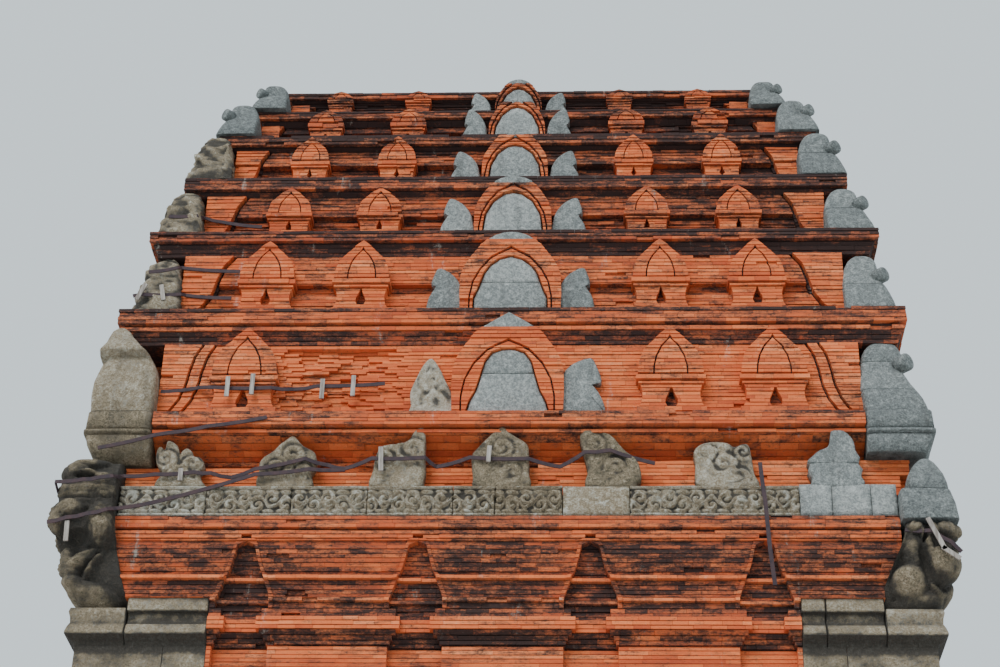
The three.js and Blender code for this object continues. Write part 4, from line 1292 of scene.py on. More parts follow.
def corner_stack(name, side, levels, joints, tone, stain, material, finish, extras=(), carved=0.0):
    """Closed stones one above the other on a corner. levels holds (height, near, far, squareness)."""
    stones = Stonework()
    ring = CARVED_RING if carved else STACK_RING
    lows = [level[0] for level in levels]
    between = list(np.arange(lows[0], lows[-1], CARVED_ROW)) if carved else []
    for stone_number, (foot, head) in enumerate(zip(joints, joints[1:])):
        inside = {z for z in lows + between if foot < z < head}
        heights = sorted({foot, foot + JOINT_EDGE, head - JOINT_EDGE, head} | inside)
        points, hollows = [], []
        for z in heights:
            near, far, square = [float(np.interp(z, lows, [level[i] for level in levels])) for i in (1, 2, 3)]
            drawn_in = JOINT_EDGE * 0.6 if z in (foot, head) else 0
            centre, half = (near + far) / 2, (far - near) / 2 - drawn_in
            for k in range(ring):
                cosine, sine = math.cos(2 * math.pi * k / ring), math.sin(2 * math.pi * k / ring)
                x = centre + half * math.copysign(abs(cosine) ** (2 / square), cosine)
                out = centre + half * math.copysign(abs(sine) ** (2 / square), sine)
                worn = STACK_WEAR * noise.noise(Vector((x * 4, out * 4, z * 4 + 9 * side)))
                if carved:
                    worn += carved * noise.noise(Vector((x * 8, out * 8, z * 8 + side)))
                    worn += 0.7 * carved * noise.noise(Vector((x * 17, out * 17, z * 17 + side)))
                points.append((x + worn, out + worn, z))
                # joint edges are darker; on carved stones the hollows of the wear are painted darker as shade and
                # its bumps lighter as a painted highlight
                hollows.append(stain + (0.5 if drawn_in else 0.0) - 20 * worn * (carved > 0))
        faces = [tuple(range(ring))]
        for row in range(len(heights) - 1):
            for k in range(ring):
                a, b = row * ring + k, row * ring + (k + 1) % ring
                faces.append((a, a + ring, b + ring, b))
        last = (len(heights) - 1) * ring
        faces.append(tuple(last + k for k in range(ring - 1, -1, -1)))
        stones.add(points, faces, tone + 0.15 * (stone_number % 2), hollows)
    for points, faces in extras:
        turned = [(x, -y, z) for x, y, z in points]
        stones.add(turned, faces, tone, [stain] * len(points))
    return stones.build(name, side, material, finish)


bowl = [
    (12.588, 3.985, 4.50, 8), (12.64, 3.985, 4.60, 9), (12.70, 3.985, 4.66, 10), (12.78, 3.985, 4.705, 12),
    (12.868, 3.985, 4.72, 14), (12.872, 3.985, 4.69, 14), (12.892, 3.985, 4.69, 14),
    (12.896, 3.985, 4.745, 14),
    (12.93, 3.985, 4.748, 14), (12.934, 3.985, 4.71, 14), (12.955, 3.985, 4.71, 14),
    (12.96, 3.985, 4.735, 14),
    (ATTIC_TOP, 3.985, 4.725, 12),
]
RENEWED_BLOCK = [(11.755, 4.258, 4.865, 12), (11.95, 4.258, 4.845, 12), (12.14, 4.262, 4.815, 12)]
RENEWED_DOME = [
    (12.143, 4.375, 4.812, 6), (12.25, 4.352, 4.80, 5), (12.36, 4.380, 4.775, 4), (12.46, 4.43, 4.74, 3.4),
    (12.53, 4.48, 4.705, 3), (12.58, 4.53, 4.665, 2.6), (12.60, 4.565, 4.64, 2.4),
]
for side, corner_name in enumerate(CORNERS):
    material, finish = (new_stone, "new_stone") if side == 0 else (old_stone, "old_stone")
    joints = [BOWL_FEET[side], ATTIC_TOP]
    corner_stack(f"attic_corner_{corner_name}", side, bowl, joints, 0.25, 0.25, material, finish)

# The new block and dome that close the front right guardian.
corner_stack("guardian_block", 0, RENEWED_BLOCK, [11.755, 12.140], 0.25, 0.12, new_stone, "new_stone")
corner_stack("guardian_dome", 0, RENEWED_DOME, [12.143, 12.60], 0.25, 0.12, new_stone, "new_stone")

# Roof storeys
# Six storeys of brick, each with a flaring ledge. Every face carries four niches with pointed
# gables, a great gable in the middle and curved wings at its ends, all rubbed out of the brick.
# base, top of the wall, foot of the fascia, top, half width of the ledge and of the corner seat
STOREYS = [
    (13.18, 14.20, 14.445, 14.65, 4.570, 4.000),
    (14.65, 15.58, 15.735, 15.89, 4.380, 3.930),
    (15.89, 16.655, 16.715, 16.90, 4.105, 3.810),
    (16.90, 17.60, 17.640, 17.79, 3.805, 3.570),
    (17.79, 18.30, 18.370, 18.49, 3.420, 3.360),
    (18.49, 18.88, 18.960, 19.06, 3.100, 3.060),
]
STOREY_BACKS = [3.98, 3.91, 3.79, 3.50, 3.12, 2.80]
SET_BACK = 0.11
# foot and head of the deep groove along each storey's wall, painted black under its head as shade, and how dark the
# wall over it is, from soot and painted shade
RECESSES = [None, (15.01, 15.165), (16.15, 16.37), (17.15, 17.365), (17.95, 18.20), (18.60, 18.78)]
RECESS_DEPTH = 0.08
WALL_SOOT_AND_SHADE = [0.08, 0.30, 0.58, 0.58, 0.82, 0.76]
LEDGE_STAINS = [0.50, 0.74, 0.78, 0.72, 0.66, 0.52]
CARVED_STAINS = [0.08, 0.16, 0.26, 0.24, 0.34, 0.40]
NICHES = [
    (0.79, (1.85, 3.02)), (0.69, (1.77, 2.90)), (0.565, (1.635, 2.75)), (0.50, (1.495, 2.60)),
    (0.47, (1.42, 2.50)), (0.35, (1.34, 2.38)),
]
NICHE_TOPS = [14.37, 15.725, 16.72, 17.74, 18.49, 19.06]
# Parts of a niche: right half outline in shares of width and height, how far out from the wall, and stain; the dark
# lines under the bands and the gable's groove are painted shade
GABLE_FOOT = 0.439
NICHE_PARTS = [
    ([(0.50, 0.0), (0.50, 0.06)], 0.13, 0.15),
    ([(0.465, 0.06), (0.43, 0.11), (0.412, 0.18), (0.415, 0.25), (0.445, 0.313)], 0.12, 0.05),
    ([(0.47, 0.313), (0.47, 0.343)], 0.140, 0.15),
    ([(0.45, 0.343), (0.45, 0.361)], 0.085, 1.0),
    ([(0.50, 0.361), (0.50, 0.420)], 0.155, 0.10),
    ([(0.475, 0.420), (0.475, GABLE_FOOT)], 0.12, 0.9),
    (
        [(0.475, GABLE_FOOT), (0.47, 0.50), (0.445, 0.60), (0.394, 0.70), (0.274, 0.80),
         (0.145, 0.90), (0, 1)],
        0.145, 0.12,
    ),
    ([(0.252, GABLE_FOOT), (0.245, 0.53), (0.208, 0.65), (0.135, 0.76), (0, 0.875)], 0.115, 0.85),
    ([(0.232, GABLE_FOOT), (0.225, 0.53), (0.188, 0.64), (0.117, 0.745), (0, 0.855)], 0.145, 0.0),
]
# the hole cut like a drop through each niche's body: how wide, its foot and height in metres
DROP = [(0, 0), (0.6, 0.04), (1.0, 0.22), (1.0, 0.40), (0.66, 0.62), (0.34, 0.80), (0.14, 1.0)]
DROPS = [
    (0.070, 0.105, 0.275), (0.058, 0.15, 0.23), (0.038, 0.185, 0.15), (0.036, 0.20, 0.13),
    (0.034, 0.235, 0.10),
    (0.030, 0.17, 0.08),
]
# where each storey's niches change from body to gable, as a share of their height
NICHE_WAISTS = [0.439, 0.47, 0.52, 0.54, 0.70, 0.76]
# Each gable: half width, height to the cap stone, the stone's half width and height, and the cap's
GABLES = [
    (0.66, 1.17, 0.475, 0.88, 0.31, 0.21), (0.62, 1.05, 0.430, 0.83, 0.28, 0.13),
    (0.49, 0.88, 0.360, 0.735, 0.24, 0.10), (0.43, 0.82, 0.325, 0.685, 0.14, 0.07),
    (0.38, 0.81, 0.300, 0.72, 0, 0), (0.32, 0.665, 0.250, 0.59, 0.155, 0.08),
]
GABLE_SHAPE = [(0.95, 0), (0.97, 0.30), (0.96, 0.52), (0.89, 0.66), (0.76, 0.79), (0.59, 0.94), (0.47, 1.0)]
DOME_SHAPE = [(1, 0), (1, 0.25), (0.93, 0.55), (0.66, 0.82), (0.28, 0.975), (0, 1)]
GROOVE_SHAPE = [(1, 0), (1, 0.25), (0.92, 0.48), (0.74, 0.68), (0.46, 0.86), (0, 1)]
GROOVE_WIDTH = 0.018
TYMPANUM_SHAPES = [
    [(1, 0), (0.905, 0.20), (0.75, 0.38), (0.63, 0.635), (0.55, 0.81), (0.39, 0.94), (0.14, 0.995), (0, 1)],
    [(1, 0), (1, 0.29), (0.90, 0.41), (0.81, 0.56), (0.72, 0.71), (0.56, 0.84), (0.31, 0.95), (0, 1)],
    DOME_SHAPE,
]
# the edge of a corner wing: shares of its width from the corner, and of the storey's wall height
WING = [
    (0.10, 0), (0.28, 0.11), (0.50, 0.25), (0.66, 0.43), (0.74, 0.64), (0.84, 0.83), (1.0, 0.96), (1.04, 1),
]
WING_SPANS = [0.42, 0.56, 0.47, 0.40, 0.28, 0.32]
# the lines that follow the edge: how far before it, depth, stain; the dark ones are painted shadow beside the raised
# wing
WING_LINES = [[(0.165, -0.03, 0.9), (0.14, 0.03, 0.15), (0.03, -0.03, 0.9)]] + 5 * [[(0.04, -0.05, 1.2)]]
TOP_GABLES = 4


def placed(right_half, centre, foot, width, height):
    return [(centre + x * width, foot + z * height) for x, z in both_hands(right_half)]


def ruined(across, height, tone):
    """How far the bricks stand back where a niche was hacked off the first storey."""
    inside = min(across + 2.62, -1.22 - across, 0.5)
    if inside < 0 or height > 14.14:
        return 0
    rough = noise.noise(Vector((across * 2.3, height * 4, 3)))
    depth = 0.05 + 0.09 * rough + 0.05 * tone
    return max(0, min(inside * 3, 1) * depth)


def raised_waist(share, waist):
    """Moves a niche's heights so that its gable starts at the given share."""
    if share <= GABLE_FOOT:
        return share * waist / GABLE_FOOT
    return waist + (share - GABLE_FOOT) * (1 - waist) / (1 - GABLE_FOOT)


def ledge_profile(number):
    """Heights and depths up one storey, with the stain of each stretch; the groove, the wall just under the ledge
    and the ledge's undersides are darkened as painted shade.
    """
    base, wall_top, fascia, top, ledge, _ = STOREYS[number]
    wall = ledge - SET_BACK
    soot_and_shade = WALL_SOOT_AND_SHADE[number]
    profile, stains_and_shades = [(base, wall)], [(base, 0.15 + 0.3 * soot_and_shade)]
    if RECESSES[number]:
        low, high = RECESSES[number]
        profile += [(low, wall), (low, wall - RECESS_DEPTH), (high, wall - RECESS_DEPTH), (high, wall)]
        # the groove is darker, as painted shade, and black just under its head as a painted shadow
        groove = 0.28 + 0.13 * number
        stains_and_shades += [(low - 0.001, 0.25 + 0.3 * soot_and_shade), (low + 0.001, groove), (high - 0.03, groove + 0.2)]
        stains_and_shades += [(high - 0.001, 1.1), (high + 0.001, soot_and_shade + 0.1)]
    profile.append((wall_top, wall))
    # the wall darkens just under the ledge and the hollow under the fascia is dark, as painted shade
    stains_and_shades += [(wall_top - 0.12, soot_and_shade), (wall_top - 0.001, soot_and_shade + 0.12)]
    stains_and_shades.append((wall_top + 0.001, 0.80 + 0.1 * number))
    if number == 0:
        fillet = fascia - 0.09
        profile += curve((wall_top, wall), (fillet, ledge - 0.045), 1, 3)
        profile += [(fillet, ledge - 0.03), (fascia - 0.03, ledge - 0.03), (fascia - 0.03, ledge - 0.075)]
        # the undersides of the fillet and of the fascia are painted dark as shade
        stains_and_shades += [(fillet - 0.001, 0.80), (fillet + 0.001, 0.35)]
        stains_and_shades += [(fascia - 0.031, 0.40), (fascia - 0.029, 1.1)]
    else:
        courses = max(1, round((fascia - wall_top) / COURSE))
        profile += curve((wall_top, wall), (fascia - 0.012, ledge - 0.05), 1, courses)
    dark = LEDGE_STAINS[number]
    profile += [(fascia, profile[-1][1]), (fascia, ledge), (top, ledge)]
    # the fascia's underside is painted black as shade; the dark at its top is soot
    stains_and_shades += [(fascia - 0.001, 1.15), (fascia + 0.001, dark - 0.1), (top - 0.08, dark)]
    stains_and_shades += [(top - 0.02, dark + 0.4), (top, 0.95)]
    return profile, stains_and_shades


for number, (base, wall_top, fascia, top, ledge, seat) in enumerate(STOREYS):
    wall = ledge - SET_BACK
    back = STOREY_BACKS[number]
    rise = wall_top - base
    profile, stains_and_shades = ledge_profile(number)
    add_core(
        f"storey_{number + 1}_core", [(base, back), (top, back)],
        [(base, vault_half(base)), (top, vault_half(top))] if number < 5 else None,
        f"roof_storey_{number + 1}",
    )
    width, centres = NICHES[number]
    niche_foot = base + 0.06 * rise
    niche_rise = NICHE_TOPS[number] - niche_foot
    waist = NICHE_WAISTS[number]
    niche_levels = [raised_waist(share, waist) for share in (0, 0.06, 0.313, 0.343, 0.361, 0.42, GABLE_FOOT)]
    gable_half, gable_rise, stone_half, stone_rise, _, _ = GABLES[number]
    levels = [z for z, _ in profile] + [niche_foot + share * niche_rise for share in niche_levels]
    beds = bed_levels([z for z in levels if z <= top] + ([base + gable_rise] if number >= TOP_GABLES else []))
    corner = seat - 0.0003
    for side, side_name in enumerate(SIDES):
        bricks = Brickwork(ROOF_BRICKS, push=0.0035 + 0.0005 * number, chipped=0.012 + 0.004 * number)
        wings, carvings = [], []
        for hand in (-1, 1):
            for before, out, stain in [*WING_LINES[number], (0, 0.045, CARVED_STAINS[number] + 0.05)]:
                edge = [(hand * (corner - before - x * WING_SPANS[number]), base + z * rise) for x, z in WING]
                wing = edge + [(hand * (corner + 1), wall_top), (hand * (corner + 1), base)]
                wings.append(Carving(wing, wall + out, stain))
            for centre in centres:
                if side == 0 and number == 0 and hand < 0 and centre == centres[0]:
                    continue
                for outline, out, stain in NICHE_PARTS:
                    raised = [(x, raised_waist(z, waist)) for x, z in outline]
                    shape = placed(raised, hand * centre, niche_foot, width, niche_rise)
                    carvings.append(Carving(shape, wall + out, stain + CARVED_STAINS[number]))
                drop_width, drop_foot, drop_rise = DROPS[number]
                drop = placed(DROP, hand * centre, base + drop_foot, drop_width, drop_rise)
                # the drop is painted dark as shade in the hole
                carvings.append(Carving(drop, wall + 0.02, 0.7))
        carvings.append(
            Carving(placed(GABLE_SHAPE, 0, base, gable_half, gable_rise), wall + 0.16, 0.1 + CARVED_STAINS[number])
        )
        # the groove round the gable stones is painted dark as shade
        for grown, out, stain in ((GROOVE_WIDTH + 0.045, 0.12, 0.9), (0.045, 0.16, 0.0)):
            shape = placed(GROOVE_SHAPE, 0, base, stone_half + grown, stone_rise + 2.2 * grown)
            carvings.append(Carving(shape, wall + out, stain + CARVED_STAINS[number]))
        # the gap round the tympanum stones is painted black as shade
        hollow = placed(TYMPANUM_SHAPES[min(number, 2)], 0, base, stone_half + 0.012, stone_rise + 0.012)
        carvings.append(Carving(hollow, wall + 0.05, 1.1))
        wear = ruined if number == 0 and side == 0 else None
        for bed, upper in zip(beds, beds[1:]):
            if bed > top - NEAR_LEVEL:
                bricks.course(bed, upper, None, 0.3, ledge - 0.12, gable_half, carvings)
                continue
            fronts = course_fronts(profile, bed, upper)
            stop = corner if upper <= wall_top + NEAR_LEVEL else None
            stain = depth_at(stains_and_shades, (bed + upper) / 2)
            bricks.course(bed, upper, fronts, stain, back, stop, wings + carvings, wear)
        bricks.build(f"storey_{number + 1}_bricks_{side_name}", side, brick_face, "brick")

# Stones of the storeys
# Grey stones are let into the brick of every storey: one or two fill each gable, a cap crowns it,
# a flame-shaped one stands on either side, and rounded ones close the corners. All are held by
# their weight. Most were renewed; the old ones are dark, pitted and carved.
TYMPANUM_OUT = 0.135
TYMPANUM_JOINTS = [0.635, 0.56]
FLANK_SHAPE = [
    (0, 0), (0.02, 0.46), (0.12, 0.69), (0.35, 0.885), (0.68, 1.0), (0.81, 0.883), (0.885, 0.67),
    (0.78, 0.61),
    (0.935, 0.42), (1.0, 0.2), (1, 0),
]
FLANK_NOTCHED = [
    (0, 0), (0, 0.48), (0.06, 0.73), (0.27, 0.90), (0.66, 1.0), (0.79, 0.88), (0.90, 0.665), (0.88, 0.565),
    (0.68, 0.57), (0.83, 0.43), (0.96, 0.23), (1, 0.06), (1, 0),
]
FLANK_BROKEN = [
    (0, 0), (0.02, 0.25), (0.10, 0.45), (0.22, 0.62), (0.36, 0.83), (0.55, 1.0), (0.72, 0.90), (0.88, 0.66),
    (1.0, 0.42), (0.97, 0.2), (0.98, 0),
]
# inner edge, width and height of the stones on both sides of the gables
FLANK_SIZES = [
    (0.60, 0.51, 0.79), (0.55, 0.44, 0.70), (0.48, 0.42, 0.69), (0.44, 0.385, 0.64), (0.385, 0.34, 0.71),
    (0.355, 0.31, 0.54),
]
FLANK_OUTS = [0.10, 0.10, 0.10, 0.10, 0.135, 0.135]
CAP_SHAPES = [[(1, 0), (0.5, 0.52), (0, 1)], [(1, 0), (0.93, 0.30), (0.62, 0.72), (0.3, 0.95), (0, 1)]]
# share of the height, near and far edges in shares of the stone's width, squareness
MOUND = [
    (0, 0, 1.00, 12), (0.08, 0, 0.965, 12), (0.16, -0.01, 0.935, 11), (0.24, -0.02, 0.895, 10),
    (0.32, -0.03, 0.845, 9), (0.40, -0.03, 0.79, 8), (0.48, -0.03, 0.75, 7), (0.54, -0.02, 0.72, 6.5),
    (0.60, -0.01, 0.71, 6), (0.66, 0, 0.72, 6), (0.72, 0.02, 0.72, 5.5), (0.78, 0.05, 0.71, 5),
    (0.84, 0.10, 0.685, 4.5), (0.90, 0.17, 0.645, 4), (0.95, 0.24, 0.59, 3.5), (0.985, 0.30, 0.53, 3),
    (1, 0.34, 0.48, 3),
]
MOUND_UPPER = [
    (0, -0.04, 1.0, 12), (0.15, -0.05, 0.955, 11), (0.30, -0.05, 0.89, 10), (0.42, -0.05, 0.83, 8),
    (0.50, -0.05, 0.775, 7), (0.58, -0.04, 0.74, 6.5), (0.66, -0.02, 0.73, 6), (0.74, 0.01, 0.71, 5.5),
    (0.80, 0.05, 0.70, 5), (0.86, 0.10, 0.68, 4.5), (0.91, 0.17, 0.64, 4),
    (0.96, 0.25, 0.57, 3.5), (1, 0.34, 0.48, 3),
]
MOUND_NOTCHED = [
    (0, 0, 1.02, 9), (0.19, 0, 1.05, 9), (0.34, 0.01, 1.03, 8), (0.44, 0.03, 1.0, 7), (0.54, 0.07, 0.97, 6),
    (0.59, 0.11, 0.92, 5.5), (0.645, 0.16, 0.90, 5), (0.665, 0.19, 1.03, 5), (0.70, 0.24, 1.04, 5),
    (0.75, 0.33, 1.0, 4.5), (0.80, 0.39, 0.95, 4.5), (0.87, 0.50, 0.91, 4), (0.94, 0.58, 0.87, 3.5),
    (0.98, 0.65, 0.82, 3), (1, 0.70, 0.79, 3),
]
MOUND_CARVED = [
    (0, -0.03, 0.97, 9), (0.15, -0.03, 0.93, 8), (0.30, -0.02, 0.88, 7), (0.45, 0, 0.84, 6.5),
    (0.60, 0.02, 0.81, 6),
    (0.72, 0.05, 0.77, 5.5), (0.82, 0.09, 0.71, 5), (0.90, 0.14, 0.63, 4.5),
    (0.96, 0.20, 0.55, 4), (1, 0.27, 0.46, 3.5),
]
CORNER_FEET = [4.700, 4.500, 4.360, 4.120, 3.860, 3.505]
CORNER_TOPS = [14.32, 15.60, 16.68, 17.73, 18.45, 19.03]
OLD_CORNER_TOP = 14.40
CORNER_JOINTS = [[0.29, 0.66], [0.45], [0.5], [0.5], [], []]
# knob on the outer corner, first storey and upper ones: reach, radius, half thickness, share of height
KNOBS = [(0.70, 0.15, 0.12, 0.64), (0.75, 0.16, 0.12, 0.585)]
LOOSE_CORNER_STOREYS = 3
# the corners whose stones are old ones, storey by storey
OLD_CORNERS = [(2, 3), (1, 3), (2, 3), (1, 3), (2,), ()]


def boss(reach, height, radius, half_thick):
    """A thick round disc that faces out along the front right corner's diagonal."""
    ring = 24
    edge = 0.25 * radius
    steps = [(-half_thick, radius), (half_thick - edge, radius), (half_thick - 0.3 * edge, radius - 0.3 * edge)]
    steps += [(half_thick, radius - edge), (half_thick, 0.7 * (radius - edge))]
    points = []
    for along, size in steps:
        for k in range(ring):
            angle = 2 * math.pi * k / ring
            u, v = reach + along, size * math.cos(angle)
            points.append(((u - v) / math.sqrt(2), -(u + v) / math.sqrt(2), height + size * math.sin(angle)))
    faces = [tuple(range(ring - 1, -1, -1)), tuple(range(len(points) - ring, len(points)))]
    for row in range(len(steps) - 1):
        for k in range(ring):
            a, b = row * ring + k, row * ring + (k + 1) % ring
            faces.append((a, b, b + ring, a + ring))
    return points, faces


def worn_face(seed, depth=1.0):
    def relief(x, z):
        spot = Vector((x * 3.5, z * 3.5, seed))
        return depth * (noise.noise(spot) + 0.5 * noise.noise(spot * 3.1) + 0.3 * noise.noise(spot * 9))
    return relief


for number, (base, wall_top, fascia, top, ledge, seat) in enumerate(STOREYS):
    wall = ledge - SET_BACK
    stone_foot = base + 0.003
    _, gable_rise, stone_half, stone_rise, cap_half, cap_rise = GABLES[number]
    for side, side_name in enumerate(SIDES):
        stones, old_stones = Stonework(), Stonework()
        shape = TYMPANUM_SHAPES[min(number, 2)]
        cuts = [0] + ([TYMPANUM_JOINTS[number]] if number < 2 else []) + [1]
        for low, high in zip(cuts, cuts[1:]):
            inside = [(np.interp(low, [z for _, z in shape], [x for x, _ in shape]), low)]
            inside += [point for point in shape if low < point[1] < high]
            inside += [(np.interp(high, [z for _, z in shape], [x for x, _ in shape]), high)]
            outline = placed(inside, 0, stone_foot, stone_half - STONE_GAP, stone_rise - STONE_GAP)
            if high < 1:
                outline = [(x, min(z, stone_foot + high * stone_rise - STONE_GAP * 1.5)) for x, z in outline]
            relief = worn_face(number * 3.3 + side)
            points, faces, hollows = slab(outline, wall - 0.1, wall + TYMPANUM_OUT, 0.018, relief, 0.006, 5)
            stones.add(points, faces, dice.uniform(0.6, 0.95), [-0.1] * len(points))
        if cap_rise:
            cap = placed(CAP_SHAPES[min(number, 1)], 0, base + gable_rise, cap_half, cap_rise)
            points, faces, hollows = slab(cap, wall, wall + 0.155, 0.012, worn_face(side), 0.006, 4)
            stones.add(points, faces, dice.uniform(0.4, 0.7), [0] * len(points))
        inner, width, height = FLANK_SIZES[number]
        for hand in (-1, 1):
            old = side == 0 and number == 0 and hand < 0 or side > 0 and dice.random() < 0.3
            shape = FLANK_BROKEN if old else FLANK_NOTCHED if number == 0 else FLANK_SHAPE
            flank = [(hand * (inner + x * width), stone_foot + z * height) for x, z in shape]
            relief = curl_relief([
                (hand * (inner + 0.5 * width), base + 0.62 * height, 0.17, hand),
                (hand * (inner + 0.5 * width), base + 0.2, 0.2, -hand),
            ]) if old else worn_face(number + hand)
            points, faces, hollows = slab(
                rounded(flank, 3), wall - 0.05, wall + FLANK_OUTS[number], 0.03, relief, 0.022 if old else 0.006, 8,
            )
            chosen = old_stones if old else stones
            chosen.add(points, faces, 0.95 if old else dice.uniform(0.3, 0.7), hollows if old else [0] * len(points))
        stones.build(f"storey_{number + 1}_stones_{side_name}", side, new_stone, "new_stone")
        if old_stones.points:
            old_stones.build(f"storey_{number + 1}_old_stones_{side_name}", side, old_stone, "old_stone")
    foot, inner = CORNER_FEET[number], seat
    low, width = base + 0.0003, foot - inner
    for side, corner_name in enumerate(CORNERS):
        old = side in OLD_CORNERS[number]
        if old:
            mound = MOUND_CARVED if number else MOUND_NOTCHED
        else:
            mound = MOUND_UPPER if number else MOUND
        high = (OLD_CORNER_TOP if old and number == 0 else CORNER_TOPS[number]) - 0.0003
        height = high - low
        levels = [(low + up * height, inner + near * width, inner + far * width, sq) for up, near, far, sq in mound]
        joints = [low, *[low + share * height for share in ([] if old else CORNER_JOINTS[number])], high]
        reach, radius, thick, up = KNOBS[min(number, 1)]
        reach = (inner + reach * width) * math.sqrt(2)
        knobs = [] if old else [boss(reach, low + up * height, radius * width, thick * width)]
        material, finish = (old_stone, "old_stone") if old else (new_stone, "new_stone")
        tone = (0.55 if number == 0 else 0.50) if old else dice.uniform(0.05, 0.40)
        stain = (0.15 if number == 0 else 0.42) if old else 0.15
        stack = corner_stack(
            f"corner_{number + 1}_{corner_name}", side, levels, joints, tone, stain, material, finish, knobs,
            0.045 if old and number else 0.0,
        )
        if number < LOOSE_CORNER_STOREYS:
            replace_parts(stack, f"corner_stone_{number + 1}_{corner_name}")

# Iron straps
# Flat iron bands hold the loose stones and the split brickwork of the front. They hang slack from
# stone to stone and are wedged with short pale battens.
BATTEN_WIDE, BATTEN_THICK = 0.05, 0.02
STRAP_RELIEF = 0.003
STRAP_WIDE, STRAP_THICK = 0.045, 0.012
STRAP_SAG = 0.012
# points along each strap: across the front, out from the axis, up
STRAPS = [
    [
        (-4.90, 4.80, 12.10), (-4.90, 4.968, 12.143), (-4.60, 4.978, 12.165), (-4.418, 4.98, 12.19),
        (-4.27, 4.975, 12.21), (-4.20, 4.80, 12.30),
        (-3.875, 4.715, 12.37), (-3.446, 4.70, 12.405), (-3.263, 4.68, 12.404), (-3.047, 4.60, 12.39),
        (-2.771, 4.70, 12.442), (-2.225, 4.70, 12.573), (-1.977, 4.62, 12.533), (-1.785, 4.62, 12.489),
        (-1.479, 4.72, 12.565), (-0.892, 4.72, 12.575), (-0.767, 4.60, 12.52), (-0.394, 4.70, 12.585),
        (0.246, 4.70, 12.57), (0.597, 4.60, 12.52), (0.874, 4.70, 12.651), (1.15, 4.70, 12.675),
        (1.645, 4.62, 12.55),
    ],
    [
        (-4.925, 4.968, 11.652), (-4.72, 4.978, 11.70), (-4.50, 4.982, 11.745), (-4.29, 4.98, 11.80),
        (-4.211, 4.86, 11.87),
        (-3.747, 4.73, 12.041), (-2.763, 4.715, 12.368), (-2.169, 4.71, 12.436), (-1.784, 4.62, 12.475),
    ],
    [(-4.541, 4.77, 12.675), (-3.918, 4.765, 12.84), (-3.789, 4.75, 12.873),
     (-3.327, 4.74, 12.97), (-2.684, 4.74, 13.082)],
    [
        (-3.976, 4.505, 13.555), (-3.536, 4.505, 13.61), (-3.412, 4.58, 13.57), (-2.691, 4.625, 13.535),
        (-2.445, 4.52, 13.575), (-2.185, 4.50, 13.629), (-1.407, 4.50, 13.66),
    ],
    [(2.787, 4.73, 12.502), (2.80, 4.74, 12.25), (2.818, 4.765, 12.01), (2.841, 4.77, 11.41),
     (2.877, 4.72, 11.03)],
    [(-4.313, 4.46, 15.244), (-3.981, 4.43, 15.325), (-3.953, 4.33, 15.39), (-3.247, 4.325, 15.335)],
    [(-4.45, 4.51, 14.87), (-4.34, 4.49, 14.905), (-3.905, 4.42, 14.95), (-3.864, 4.33, 14.995),
     (-3.316, 4.325, 14.955)],
    [(-4.20, 4.30, 16.172), (-3.847, 4.28, 16.195), (-3.798, 4.10, 16.289), (-3.59, 4.06, 16.255),
     (-3.089, 4.05, 16.183)],
    [(4.284, 4.80, 11.644), (4.547, 4.895, 11.588), (4.739, 4.90, 11.446), (4.835, 4.885, 11.34)],
]
# battens under the straps: across, out, up, lean in degrees, length
BATTENS = [
    (-3.188, 4.645, 13.54, 0, 0.26), (-2.905, 4.645, 13.57, 0, 0.27), (-2.121, 4.52, 13.58, 0, 0.26),
    (-1.768, 4.52, 13.62, 0, 0.27), (-4.70, 4.955, 11.55, 3, 0.24), (-3.59, 4.72, 12.365, 2, 0.15),
    (4.585, 4.925, 11.535, 22, 0.40), (4.72, 4.925, 11.31, 52, 0.22), (-4.36, 4.51, 14.93, -22, 0.24),
    (-4.11, 4.49, 14.93, 12, 0.22), (-1.377, 4.735, 12.55, 3, 0.30), (-0.184, 4.735, 12.61, -4, 0.20),
]


def bar(points, wide, thick):
    """A closed flat bar along points given as (across, out, up), its breadth standing up."""
    corners, faces = [], []
    for i, point in enumerate(points):
        before, after = Vector(points[max(i - 1, 0)]), Vector(points[min(i + 1, len(points) - 1)])
        along = (after - before).normalized()
        outward = Vector((0, 1, 0)) if abs(along.y) < 0.7 else Vector((math.copysign(1, point[0]), 0, 0))
        breadth = along.cross(outward).normalized() * (wide / 2)
        depth = breadth.cross(along).normalized() * (thick / 2)
        for a, b in ((-1, -1), (1, -1), (1, 1), (-1, 1)):
            corners.append(Vector(point) + breadth * a + depth * b)
    for i in range(len(points) - 1):
        for k in range(4):
            a, b = 4 * i + k, 4 * i + (k + 1) % 4
            faces.append((a, b, b + 4, a + 4))
    last = len(corners) - 4
    return corners, [*faces, (3, 2, 1, 0), (last, last + 1, last + 2, last + 3)]


def slack(points):
    """Points along a strap that sags a little between the given ones."""
    result = []
    for start, end in zip(points, points[1:]):
        a, b = Vector(start), Vector(end)
        count = max(1, round((b - a).length / 0.12))
        for k in range(count):
            share = k / count
            result.append(a.lerp(b, share) - Vector((0, 0, 4 * STRAP_SAG * share * (1 - share))))
    return [*result, Vector(points[-1])]


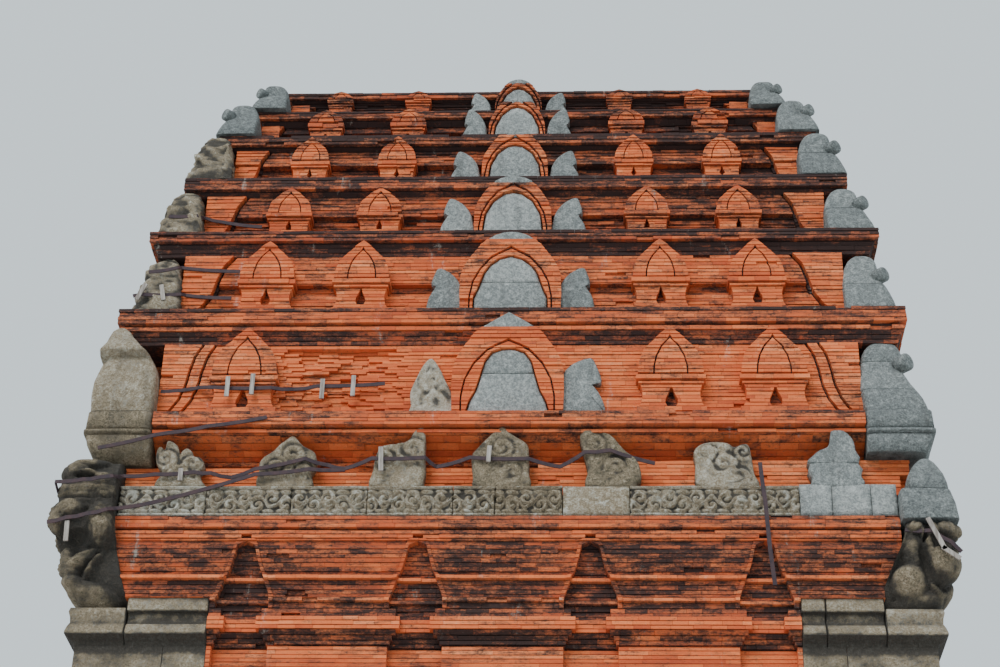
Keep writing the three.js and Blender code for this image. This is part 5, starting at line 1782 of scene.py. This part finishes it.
iron, place = new_material("strap_iron")
rust = place.noise(14, 5.0, 0.7)
metal = rust.ramp((0.35, (0.035, 0.026, 0.034)), (0.65, (0.075, 0.045, 0.048)))
finish_material(iron, metal, 0.6 + 0.3 * rust, rust, STRAP_RELIEF)
batten_wood, place = new_material("batten_wood")
fibres = place.stretch(30, 30, 4).noise(1.0, 4.0, 0.6)
timber = fibres.ramp((0.35, (0.20, 0.17, 0.15)), (0.65, (0.46, 0.42, 0.38)))
finish_material(batten_wood, timber, 0.8 + 0.1 * fibres, fibres, STRAP_RELIEF)
for number, points in enumerate(STRAPS):
    points, faces = bar(slack(points), STRAP_WIDE, STRAP_THICK)
    add_piece(f"iron_strap_{number + 1}", on_side(points, 0), faces, iron)
for number, (across, out, up, lean, length) in enumerate(BATTENS):
    half = Vector((math.sin(math.radians(lean)), 0, -math.cos(math.radians(lean)))) * (length / 2)
    middle = Vector((across, out, up))
    points, faces = bar([middle - half, middle + half], BATTEN_WIDE, BATTEN_THICK)
    add_piece(f"batten_{number + 1}", on_side(points, 0), faces, batten_wood)

# Roof top
# Above the last storey the corbelled courses close the vault in a low curved cap. Its finial is
# lost, and the last courses are ragged.
CAP_TOP = 20.00
CAP_STEPS = [(2.86, 0), (2.82, 0.16), (2.60, 0.40), (2.15, 0.74), (1.70, 1.00)]
CAP_CORE_SET_BACK = 0.45
cap_base = STOREYS[-1][3]
cap_profile = [(cap_base + up * (CAP_TOP - cap_base), half) for half, up in CAP_STEPS]
add_core("cap_core", [(up, half - CAP_CORE_SET_BACK) for up, half in cap_profile], None, "roof_top")
for side, side_name in enumerate(SIDES):
    bricks = Brickwork(ROOF_BRICKS, push=0.006, chipped=0.05, lost=0.006)
    beds = bed_levels([z for z, _ in cap_profile])
    for bed, upper in zip(beds, beds[1:]):
        half = depth_at(cap_profile, (bed + upper) / 2)
        bricks.course(bed, upper, (half, half), 0.55, half - CAP_CORE_SET_BACK)
    bricks.build(f"cap_bricks_{side_name}", side, brick_face, "stained_brick")
